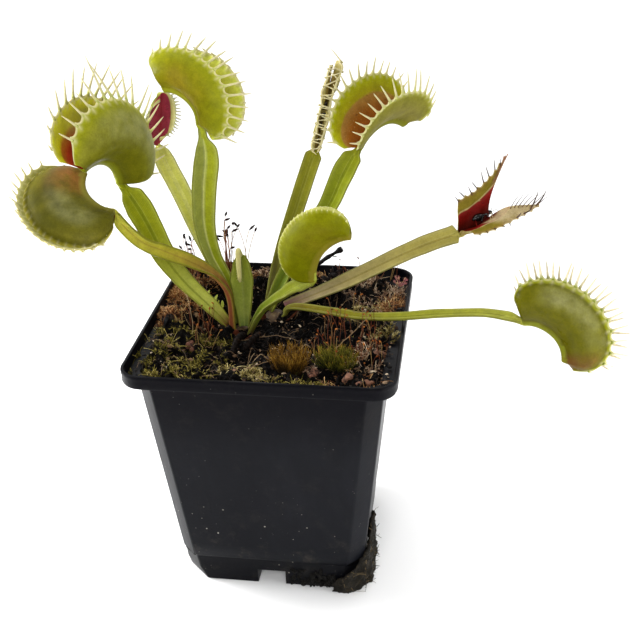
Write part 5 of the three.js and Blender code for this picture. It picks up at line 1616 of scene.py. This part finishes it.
# Moss fruit on thin stalks: place, spread, how many, their shortest and longest stalk, how much they
# lean, and the size and shade of the capsules
FRUITS = [
    ((-40, 40), (2.0, 1.6), 10, (8, 15), 0.2, 1, 0.2),
    ((-25.5, 41), (1.8, 1.2), 14, (12, 23), 0.06, 1, 0.3),
    ((-18, 41), (1.0, 1.0), 3, (16, 20), 0.05, 1, 0.3),
    ((-4, 41), (5, 1.5), 12, (3, 7), 0.2, 0.4, 0.6),
    ((28, 41), (12, 2.0), 20, (3, 8), 0.2, 0.4, 0.6),
    ((26, 0), (9, 8), 26, (6, 13), 0.12, 0.4, 0.82),
    ((33, -14), (6, 8), 22, (3, 9), 0.2, 0.4, 0.82),
    ((20, -16), (6, 4), 12, (5, 11), 0.15, 0.4, 0.82),
    ((-28, -4), (7, 10), 20, (5, 12), 0.2, 0.4, 0.8),
    ((-38, 24), (4, 10), 24, (4, 9), 0.25, 0.45, 0.7),
]
# Radii along a capsule
CAPSULE = np.array([0.12, 0.3, 0.42, 0.46, 0.4, 0.26, 0.1])


def make_moss_fruit():
    """Thin stalks with small dark capsules at their bent tips."""
    random = np.random.default_rng(83)
    form = Form()
    t = np.linspace(0, 1, 9)
    s = np.linspace(0, 1, len(CAPSULE))
    for at, spread, count, heights, lean, size, tone in FRUITS:
        for _ in range(count):
            x, y = np.clip(at + random.uniform(-1, 1, 2) * spread, -GROWTH_HALF, GROWTH_HALF)
            foot = np.array([x, y, ground_level(x, y)])
            tall = random.uniform(*heights)
            way = unit(np.append(random.normal(0, lean, 2), 1))
            sway = np.append(random.normal(0, 0.12, 2), 0) * tall
            hook = unit(np.append(random.normal(0, 1, 2), 0.7)) * size
            path = foot + way * tall * t[:, None] + sway * (t**2)[:, None]
            path = path + hook * (np.clip(t - 0.8, 0, 1) * 6)[:, None]
            girth = (0.08 + 0.07 * size) * (1 - 0.2 * t)
            form.add(*tube(path, girth, 4), 0, (random.uniform(0, 1), 0, 0))
            heading = unit(hook)
            body = path[-1] + heading * size * (s[:, None] * random.uniform(2.2, 3.2) - 0.1)
            form.add(*tube(body, CAPSULE * size**0.5, 7), 1, (tone + random.uniform(-0.2, 0.1), 0, 0))
    stops = [(0.0, (84, 40, 28)), (0.5, (128, 74, 50)), (1.0, (156, 128, 80))]
    stalk, _ = toned("moss_fruit_stalk", stops, (0.3, 600), Specular_IOR_Level=0.08)
    stalk.rough(0.5)
    stops = [(0.0, (10, 6, 5)), (0.5, (40, 18, 12)), (0.75, (120, 60, 28)), (1.0, (206, 130, 62))]
    capsule, _ = toned("moss_fruit_capsule", stops, (0.3, 1500), Specular_IOR_Level=0.05)
    capsule.rough(0.8)
    return form.make("moss_fruit", [stalk.material, capsule.material])


# Rounded lumps on the ground: place and radius
PEBBLES = [
    ((29.5, -34, 2.5), (2.6, 2.2, 1.8)), ((35, -33, 2.2), (1.9, 1.6, 1.4)),
    ((32.5, -36, 1.8), (1.4, 1.3, 1.0)), ((17, -28, 3.0), (1.6, 1.4, 1.7)),
    ((16.2, -30.5, 2.4), (1.2, 1.1, 1.1)), ((-28, -14, 3.2), (1.5, 1.2, 1.8)),
    ((-26.6, -15.5, 2.4), (1.2, 1.0, 1.1)), ((-30, -30, 2.6), (1.1, 1.4, 1.6)),
    ((38, -13, 2.4), (1.7, 1.4, 1.3)), ((36, -16, 2.6), (1.2, 1.1, 1.2)),
    ((-8, -34, 1.8), (1.2, 1.0, 0.8)),
]
PEBBLE_SCALE = 0.85
# Paths of the ringed stumps of old leaf stalks
STUMPS = [
    [(-13, -16, 85), (-12, -11, 88), (-10.5, -6, 88)],
    [(-9.5, -13, 85), (-7, -9, 87.5), (-5, -4, 87)],
]


def make_litter():
    """Pinkish lumps, ringed black stumps of old leaf stalks and dark bark behind the twig."""
    form = Form()
    for k, ((x, y, rise), radii) in enumerate(PEBBLES):
        centre = (x, y, ground(x, y) + rise * 0.4)
        lump = blob(centre, np.multiply(radii, PEBBLE_SCALE), 40 + k, 0.75, 0.6)
        form.add(*lump, 0, (k / len(PEBBLES), 0, 0))
    t = np.linspace(0, 1, 46)
    random = np.random.default_rng(19)
    for route in STUMPS:
        path = catmull(route, t)
        rings = 0.66 + 0.34 * np.abs(np.sin(t * 24))
        form.add(*tube(path, 1.15 * rings * np.clip(np.minimum(t, 1 - t) / 0.08, 0.4, 1), 10), 1)
        hairs = 150
        roots = catmull(route, random.uniform(0.05, 1, hairs))
        ways = random.normal(0, 1, (hairs, 3)) + (0, 0, 0.3)
        spikes(form, roots, ways, random.uniform(1.3, 2.6, hairs), 0.16, 0.25, 1)
    for k in range(26):
        x, y = random.uniform(4, 24), random.uniform(35, 42)
        turn = Matrix.Rotation(random.uniform(0, 6), 3, "Z")
        turn = turn @ Matrix.Rotation(random.uniform(-1, 1), 3, "Y")
        radii = random.uniform(0.8, 2.0) * np.array([1.5, 0.6, 0.5])
        centre = (x, y, ground_level(x, y) + random.uniform(0.5, 3))
        form.add(*blob(centre, radii, 70 + k, 0.6, 0.6, turn), 1)
    stops = [(0.35, (5, 4, 3)), (0.6, (24, 16, 12)), (0.8, (90, 62, 44))]
    bark = clouded("black_bark", (500, 6), stops, 0.55, (1200, 6, 0.4), Specular_IOR_Level=0.06)
    return form.make("litter", [lump_paint(), bark])


def lump_paint():
    paint = Paint("dry_lump", Specular_IOR_Level=0.3)
    tone, _, _ = paint.guide()
    body = paint.ramp(tone, [(0.0, (146, 100, 76)), (0.5, (128, 80, 62)), (1.0, (166, 124, 98))])
    body = paint.mix(paint.span(paint.noise(520, 6, 0.7), 0.47, 0.6), body, (36, 20, 14))
    paint.colour(paint.mottle(body, 0.7, 700))
    paint.rough(0.7)
    paint.bump(paint.noise(900, 6), 0.4, 0.9)
    return paint.material


def strap(form, root, way, face, length, width, finish):
    """A small pointed flat scale or leaf, bowed towards its face."""
    bow, cup, thick = 0.3, 0.35, 0.22
    way, face = unit(way), unit(face)
    side = unit(np.cross(way, face))
    t = np.linspace(0, 1, 12)
    a = np.linspace(-1, 1, 7)
    half = width * np.clip(np.sin(np.clip(t * 0.85 + 0.12, 0, 1) * math.pi), 0.04, 1) ** 0.8
    middle = np.asarray(root) + way * length * t[:, None] + unit(face) * (bow * length * t**2)[:, None]
    upper = middle[:, None] + side * (half[:, None] * a)[..., None]
    upper = upper + face * (cup * half[:, None] * a**2)[..., None]
    lower = upper - face * thick
    left, right = (upper + lower)[:, 0] / 2 - side * 0.08, (upper + lower)[:, -1] / 2 + side * 0.08
    rings = np.concatenate([left[:, None], upper, right[:, None], lower[:, ::-1]], 1)
    form.add(*flat_body(rings), finish, (0.5, 0.5, 0))


# Dead bracts round the crown: root, way and length
BRACTS = [
    ((-19.5, 10, 80), (-0.8, -0.2, 0.9), 8), ((-16, 3.5, 80), (0.3, -0.9, 0.8), 7),
    ((-12, 3, 80), (0.6, -0.8, 0.5), 6), ((-20, 6, 80), (-0.9, -0.6, 0.6), 7),
    ((-9, 17, 80), (0.2, -0.7, 0.9), 6), ((0, 20, 80), (0.9, -0.4, 0.6), 7),
]


def make_rhizome():
    """The two pale scaly bulbs with their black roots and the dead bracts round the crown."""
    form = Form()
    t = np.linspace(0.02, 0.98, 22)
    turns = np.arange(30) / 30 * 2 * math.pi
    for x, y in CROWNS:
        z = -np.cos(t * math.pi) * BULB["height"]
        girth = np.sin(t * math.pi)[:, None] * BULB["radius"]
        scales = 1 - 0.05 * np.abs(np.sin(turns * 2.5 + t[:, None] * 5)) ** 0.4
        rings = np.stack([
            x + girth * scales * np.cos(turns), y + girth * scales * np.sin(turns),
            CROWN_Z - BULB["height"] + z[:, None] + 0 * turns], -1)
        form.add(*round_body(rings), 0)
    ends = [np.array([x, y, CROWN_Z - BULB["height"] - 0.6]) for x, y in CROWNS]
    form.add(*tube(np.linspace(*ends, 8), BULB["neck"], 20), 0)
    t = np.linspace(0, 1, 26)
    for number, foot in enumerate(ROOT_FOOTS):
        near = min(CROWNS, key=lambda crown: math.dist(crown, foot))
        start = np.array([*near, CROWN_Z - BULB["height"]])
        end = np.array([*foot, CROWN_Z - ROOT["length"]])
        knee = start + (end - start) * ROOT["knee_place"]
        knee[2] = CROWN_Z - ROOT["length"] * ROOT["knee_depth"]
        path = catmull([start, knee, end], t) + 0.25 * np.sin(t * 17 + number)[:, None]
        form.add(*tube(path, ROOT["radius"] * (1 - 0.5 * t), 8), 1)
    for root, way, length in BRACTS:
        strap(form, root, way, (way[0] * -0.6, way[1] * -0.6, 0.8), length, 1.5, 2)
    stops = [(0.3, (34, 22, 14)), (0.6, (80, 60, 38)), (0.8, (128, 108, 72))]
    bulb = clouded("rhizome_fine", (260, 5), stops, 0.6, (700, 4, 0.3), Specular_IOR_Level=0.35)
    stops = [(0.3, (12, 9, 8)), (0.8, (44, 32, 24))]
    root = clouded("flytrap_root", (400, 5), stops, 0.6, Specular_IOR_Level=0.3)
    stops = [(0.3, (44, 20, 14)), (0.55, (96, 46, 28)), (0.8, (150, 100, 56))]
    bract = clouded("dead_bract", (420, 5), stops, 0.55, (900, 4, 0.3), Specular_IOR_Level=0.3)
    return form.make("rhizome_fine", [bulb, root, bract], ["rhizome"])


SPROUT = {"at": (-26, 18), "count": 9, "spread": 1.6}
SUNDEW = {"at": (40.5, 33, 89.0), "leaves": 8, "hair": 0.9}


def make_small_plants():
    """A green sprout beside the crown and a tiny pink sundew in the right back corner."""
    random = np.random.default_rng(29)
    form = Form()
    t = np.linspace(0, 1, 12)
    for _ in range(SPROUT["count"]):
        x, y = (middle + random.normal(0, SPROUT["spread"]) for middle in SPROUT["at"])
        foot = np.array([x, y, ground(x, y)])
        top = foot + (random.normal(0, 2.2), random.normal(0, 1.5), random.uniform(4, 8))
        path = catmull([foot, (foot + top) / 2 + random.normal(0, 0.8, 3), top], t)
        form.add(*tube(path, 0.22 * (1 - 0.6 * t), 5), 0, (random.random(), 0, 0))
        strap(form, path[8], random.normal(0, 1, 3) + (0, 0, 0.6), (0, -0.5, 1), 2.2, 0.5, 0)
    for k in range(SUNDEW["leaves"]):
        turn = k * GOLDEN_ANGLE
        out = np.array([math.cos(turn), math.sin(turn), random.uniform(0.5, 1.6)])
        path = SUNDEW["at"] + unit(out) * random.uniform(2.5, 4.5) * t[:, None]
        form.add(*tube(path, 0.14 + 0.7 * np.clip(t - 0.7, 0, 0.3), 6), 1, (k / SUNDEW["leaves"], 0, 0))
        hairs = np.repeat(path[-3:], 8, 0)
        spikes(form, hairs, random.normal(0, 1, hairs.shape), SUNDEW["hair"], 0.09, 0, 1)
    sprout = leaf_surface("sprout")
    sprout.colour(sprout.ramp(sprout.noise(300), [(0.3, (146, 156, 50)), (0.7, (200, 204, 106))]))
    sundew = leaf_surface("sundew")
    stops = [(0.3, (120, 52, 66)), (0.5, (176, 110, 112)), (0.7, (196, 170, 110))]
    sundew.colour(sundew.ramp(sundew.noise(900), stops))
    return form.make("small_plants", [sprout.material, sundew.material])


# What clings to the pot and hides in the moss


def node_mesh(name, voxel):
    """Points and faces of a node's solid, meshed again in even quads."""
    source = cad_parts[name]
    copy = bpy.data.objects.new(name, source.data.copy())
    copy.data.transform(source.matrix_world)
    bpy.context.scene.collection.objects.link(copy)
    change = copy.modifiers.new("even", "REMESH")
    change.mode = "VOXEL"
    change.voxel_size = voxel * MM
    apply_modifiers(copy)
    mesh = copy.data
    points = np.empty(len(mesh.vertices) * 3, np.float32)
    normals = np.empty(len(mesh.vertices) * 3, np.float32)
    mesh.vertices.foreach_get("co", points)
    mesh.vertices.foreach_get("normal", normals)
    faces = np.array([face.vertices[:] for face in mesh.polygons])
    bpy.data.objects.remove(copy)
    return points.reshape(-1, 3) / MM, normals.reshape(-1, 3), faces


# The mud's mesh step and how low it may lie, its fibres with how far they keep off the wall, and the dark
# crumbs along the foot to the left of it
MUD = {"step": 0.45, "lowest": 0.1, "fibres": 150, "fibre_low": 0.3, "off_wall": 0.9, "corner": 4,
       "crumbs": 60, "crumbs_from": 7, "crumbs_high": 7}


def make_mud():
    """The clump of peat and root fibres dried on to the pot's lower right corner."""
    random = np.random.default_rng(71)
    points, normals, faces = node_mesh("mud", MUD["step"])
    lumps = 0.6 * cloud(points, 2.4, 3) + 0.6 * cloud(points, 1.1, 4) + 0.4 * np.abs(cloud(points, 0.6, 5))
    points = points + normals * (lumps - 0.15)[:, None]
    points[:, 2] = np.maximum(points[:, 2], MUD["lowest"])
    form = Form()
    form.add(points, faces, 0, (0.2, 0, 0))
    outer = points[(normals[:, 1] < -0.3) | (normals[:, 0] > 0.3)]
    t = np.linspace(0, 1, 10)
    gap = POT["wall_foot_half"] + MUD["off_wall"]
    for _ in range(MUD["fibres"]):
        root = outer[random.integers(len(outer))]
        length = random.uniform(1.2, 3.6)
        steps = np.cumsum(random.normal(0, 0.25, (len(t), 3)) + unit(random.normal(0, 1, 3)) * 0.8, 0)
        path = root + steps * length / len(t)
        path[:, 2] = np.maximum(path[:, 2], MUD["fibre_low"])
        inside = (path[:, 0] < gap) & (path[:, 1] > -gap)
        front = path[:, 0] < gap - MUD["corner"]
        path[:, 1] = np.where(inside & front, -gap, path[:, 1])
        path[:, 0] = np.where(inside & ~front, gap, path[:, 0])
        girth = random.uniform(0.08, 0.16) * (1 - 0.5 * t)
        form.add(*tube(path, girth, 4), 0, (random.uniform(0.2, 1), 0, 0))
    for k in range(MUD["crumbs"]):
        x = random.uniform(MUD["crumbs_from"], POT["foot_half"] - POT["foot_chamfer"])
        radius = random.uniform(0.5, 1.4)
        z = radius * 1.3 + random.uniform(0, MUD["crumbs_high"]) * random.uniform(0.2, 1)
        radii = radius * random.uniform(0.6, 1.3, 3)
        points, faces = blob((x, -POT["foot_half"], z), radii, 90 + k, 0.9, 0.5)
        points[:, 2] = np.maximum(points[:, 2], MUD["lowest"])
        form.add(points, faces, 0, (random.uniform(-0.4, 0.1), 0, 0))
    paint = Paint("mud_fine", Specular_IOR_Level=0.15)
    tone, _, _ = paint.guide()
    value = paint.plus(paint.times(tone, 0.5), paint.times(paint.noise(420, 7, 0.7), 0.6))
    stops = [(0.2, (12, 11, 9)), (0.42, (26, 23, 17)), (0.6, (66, 56, 38)), (0.85, (124, 106, 76))]
    paint.colour(paint.ramp(value, stops))
    paint.rough(paint.span(paint.noise(300), 0.3, 0.7, 0.45, 0.9))
    paint.bump(paint.noise(1500, 7, 0.7), 0.5, 0.9)
    return form.make("mud_fine", [paint.material], ["mud"])


def make_twig():
    """A charred twig with a broken, squarish end."""
    form = Form()
    t = np.linspace(0, 1, 60)
    path = catmull(TWIG["path"], t)
    knots = 0.82 + 0.18 * np.sin(t * 37) * np.sin(t * 13)
    radii = TWIG["radius"] * knots * (1 + 0.55 * smoothstep(0.93, 0.97, t))
    points, faces = tube(path, radii, 12)
    form.add(points + 0.12 * np.stack([cloud(points, 0.9, k) for k in (1, 2, 3)], -1), faces)
    side = catmull(TWIG["side"], t[::3])
    form.add(*tube(side, TWIG["side_radius"] * (1 - 0.6 * t[::3]), 6))
    paint = Paint("twig_fine", Specular_IOR_Level=0.1)
    stops = [(0.35, (6, 5, 5)), (0.6, (20, 16, 14)), (0.85, (64, 52, 42))]
    paint.colour(paint.ramp(paint.noise(600, 6), stops))
    paint.rough(0.6)
    paint.bump(paint.noise(700, 6, 0.7, stretch=(1, 1, 0.4)), 0.4, 0.9)
    return form.make("twig_fine", [paint.material], ["twig"])


# Which way the insect looks, in degrees, and how much longer it is than its numbers below say
INSECT = {"yaw": 42, "stretch": 1.35}


def make_insect():
    """The caught insect: glossy ringed abdomen, wing cases, thorax, head, six legs and feelers."""
    form = Form()
    low, high = (np.array(corner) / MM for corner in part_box("insect"))
    centre = (low + high) / 2
    yaw = math.radians(INSECT["yaw"])
    ahead = INSECT["stretch"] * np.array([math.cos(yaw), math.sin(yaw), 0.1])
    side = np.array([math.sin(yaw), -math.cos(yaw), 0])
    t = np.linspace(0, 1, 40)
    abdomen = centre + ahead * (t[:, None] * 4.2 - 3.2)
    rings = np.sin(np.clip(t, 0.03, 0.97) * math.pi) ** 0.6 * (1 - 0.05 * np.abs(np.sin(t * 19)))
    form.add(*tube(abdomen, 1.6 * rings, 18, 0.9))
    form.add(*blob(centre + ahead * 1.7, (1.35, 1.35, 1.2), 3, 0.06))
    form.add(*blob(centre + ahead * 3.0 + (0, 0, 0.1), (0.95, 0.95, 0.85), 4, 0.05))
    for sign in (-1, 1):
        wing = centre + ahead * (t[:, None] * 3.9 - 2.6) + side * sign * 0.5 + (0, 0, 0.55)
        form.add(*tube(wing, 0.75 * np.sin(np.clip(t, 0.04, 0.97) * math.pi) ** 0.5, 12, 0.6), 0)
        form.add(*blob(centre + ahead * 3.3 + side * sign * 0.55 + (0, 0, 0.2), (0.3, 0.3, 0.3), 9, 0.02), 1)
        feeler = catmull([centre + ahead * 3.5, centre + ahead * 4.4 + side * sign * 1.0 + (0, 0, 0.8),
                          centre + ahead * 5.0 + side * sign * 2.0 + (0, 0, 0.3)], t[::4])
        form.add(*tube(feeler, 0.09, 5))
        for k in range(3):
            hip = centre + ahead * (2.0 - k * 1.1) + side * sign * 0.7
            knee = hip + side * sign * 1.1 + ahead * (0.6 - 0.6 * k) + (0, 0, 0.5)
            foot = knee + side * sign * 0.5 + ahead * (0.5 - 0.6 * k) - (0, 0, 1.9)
            form.add(*tube(catmull([hip, knee, foot], t[::4]), 0.16, 6))
    shell = clouded("insect_shell", (700, 4), [(0.3, (3, 3, 4)), (0.7, (14, 12, 13))], 0.2, (1600, 0.06),
                    Specular_IOR_Level=0.3, Coat_Weight=0.15, Coat_Roughness=0.08)
    eye = clouded("insect_eye", (2000,), [(0.3, (30, 8, 6)), (0.7, (70, 20, 14))], 0.25, Coat_Weight=0.5)
    return form.make("insect_fine", [shell, eye], ["insect"])


# Studio. The floor and the lamps are in metres; a lamp has its place, aim, size and watts.

FLOOR_HALF = 6.0
LAMPS = {
    "key": ((-0.35, 0.1, 0.85), (0, 0, 0.1), (0.45, 0.45), 3.6),
    "front": ((0.1, -0.85, 0.6), (0, 0, 0.08), (0.6, 0.5), 6.0),
    "far_floor": ((0.1, 1.3, 1.1), (0.1, 1.1, 0), (2.2, 1.2), 22.0),
    "low_left": ((-0.3, 0.02, 0.14), (-0.13, 0.02, 0), (0.12, 0.12), 1.5),
    "low_right": ((0.22, -0.08, 0.08), (0.165, -0.07, 0), (0.1, 0.1), 0.3),
}


def make_camera():
    """The camera that matches the photo's view."""
    azimuth, elevation, roll = (math.radians(VIEW[key]) for key in ("azimuth", "elevation", "roll"))
    level = math.cos(elevation)
    back = Vector((math.sin(azimuth) * level, -math.cos(azimuth) * level, math.sin(elevation)))
    right = (-back).cross(Vector((0, 0, 1))).normalized()
    up = right.cross(-back)
    x = right * math.cos(roll) + up * math.sin(roll)
    y = up * math.cos(roll) - right * math.sin(roll)
    matrix = Matrix((x, y, back)).transposed().to_4x4()
    matrix.translation = (Vector(VIEW["target"]) + back * VIEW["distance"]) * MM
    data = bpy.data.cameras.new("camera")
    data.angle = math.radians(VIEW["field"])
    data.clip_start = 0.01
    camera = bpy.data.objects.new("camera", data)
    camera.matrix_world = matrix
    bpy.context.scene.collection.objects.link(camera)
    bpy.context.scene.camera = camera


def make_floor():
    """The plain pale floor."""
    mesh = bpy.data.meshes.new("floor")
    edit = bmesh.new()
    bmesh.ops.create_grid(edit, x_segments=1, y_segments=1, size=FLOOR_HALF)
    edit.to_mesh(mesh)
    edit.free()
    floor = bpy.data.objects.new("floor", mesh)
    bpy.context.scene.collection.objects.link(floor)
    stops = [(0.0, (244, 244, 244)), (1.0, (248, 248, 248))]
    mesh.materials.append(clouded("floor", (2, 2), stops, 0.9, Specular_IOR_Level=0.1))


def area_light(name, place, aim, size, power):
    """A rectangular lamp at a place, turned to the point that it lights."""
    data = bpy.data.lights.new(name, "AREA")
    data.shape = "RECTANGLE"
    data.size, data.size_y = size
    data.energy = power
    light = bpy.data.objects.new(name, data)
    light.location = place
    light.rotation_mode = "QUATERNION"
    light.rotation_quaternion = (Vector(aim) - Vector(place)).to_track_quat("-Z", "Y")
    bpy.context.scene.collection.objects.link(light)


def make_world():
    """A white room, darker on the camera's side."""
    world = bpy.data.worlds.new("studio")
    world.use_nodes = True
    nodes, links = world.node_tree.nodes, world.node_tree.links
    direction = nodes.new("ShaderNodeTexCoord").outputs["Generated"]
    split = nodes.new("ShaderNodeSeparateXYZ")
    links.new(direction, split.inputs[0])
    depth = nodes.new("ShaderNodeMapRange")
    links.new(split.outputs["Y"], depth.inputs[0])
    for number, value in ((1, -0.8), (2, 0.2), (3, 0.2), (4, 0.5)):
        depth.inputs[number].default_value = value
    background = nodes["Background"]
    background.inputs["Color"].default_value = (1, 1, 1, 1)
    links.new(depth.outputs[0], background.inputs["Strength"])
    bpy.context.scene.world = world


def make_light():
    """Two soft boxes above, one over the floor behind, and a low lamp on each side of the pot."""
    bpy.context.scene.view_settings.view_transform = "Standard"
    make_world()
    for name, row in LAMPS.items():
        area_light(name, *row)


make_camera()
make_floor()
make_light()
make_pot()
make_peat()
make_crumbs()
make_fibres()
for number, kind in enumerate(MOSS_COLOURS):
    make_moss(kind, MOSS_SEED + number)
make_moss_fruit()
make_litter()
make_small_plants()
for tuft_name, tuft in TUFTS.items():
    make_tuft(tuft_name, tuft)
make_rhizome()
make_mud()
make_twig()
make_insect()
for number, (leaf_name, leaf) in enumerate(LEAVES.items()):
    make_leaf(leaf_name, leaf, LEAF_SEED + number)
make_young_leaf()
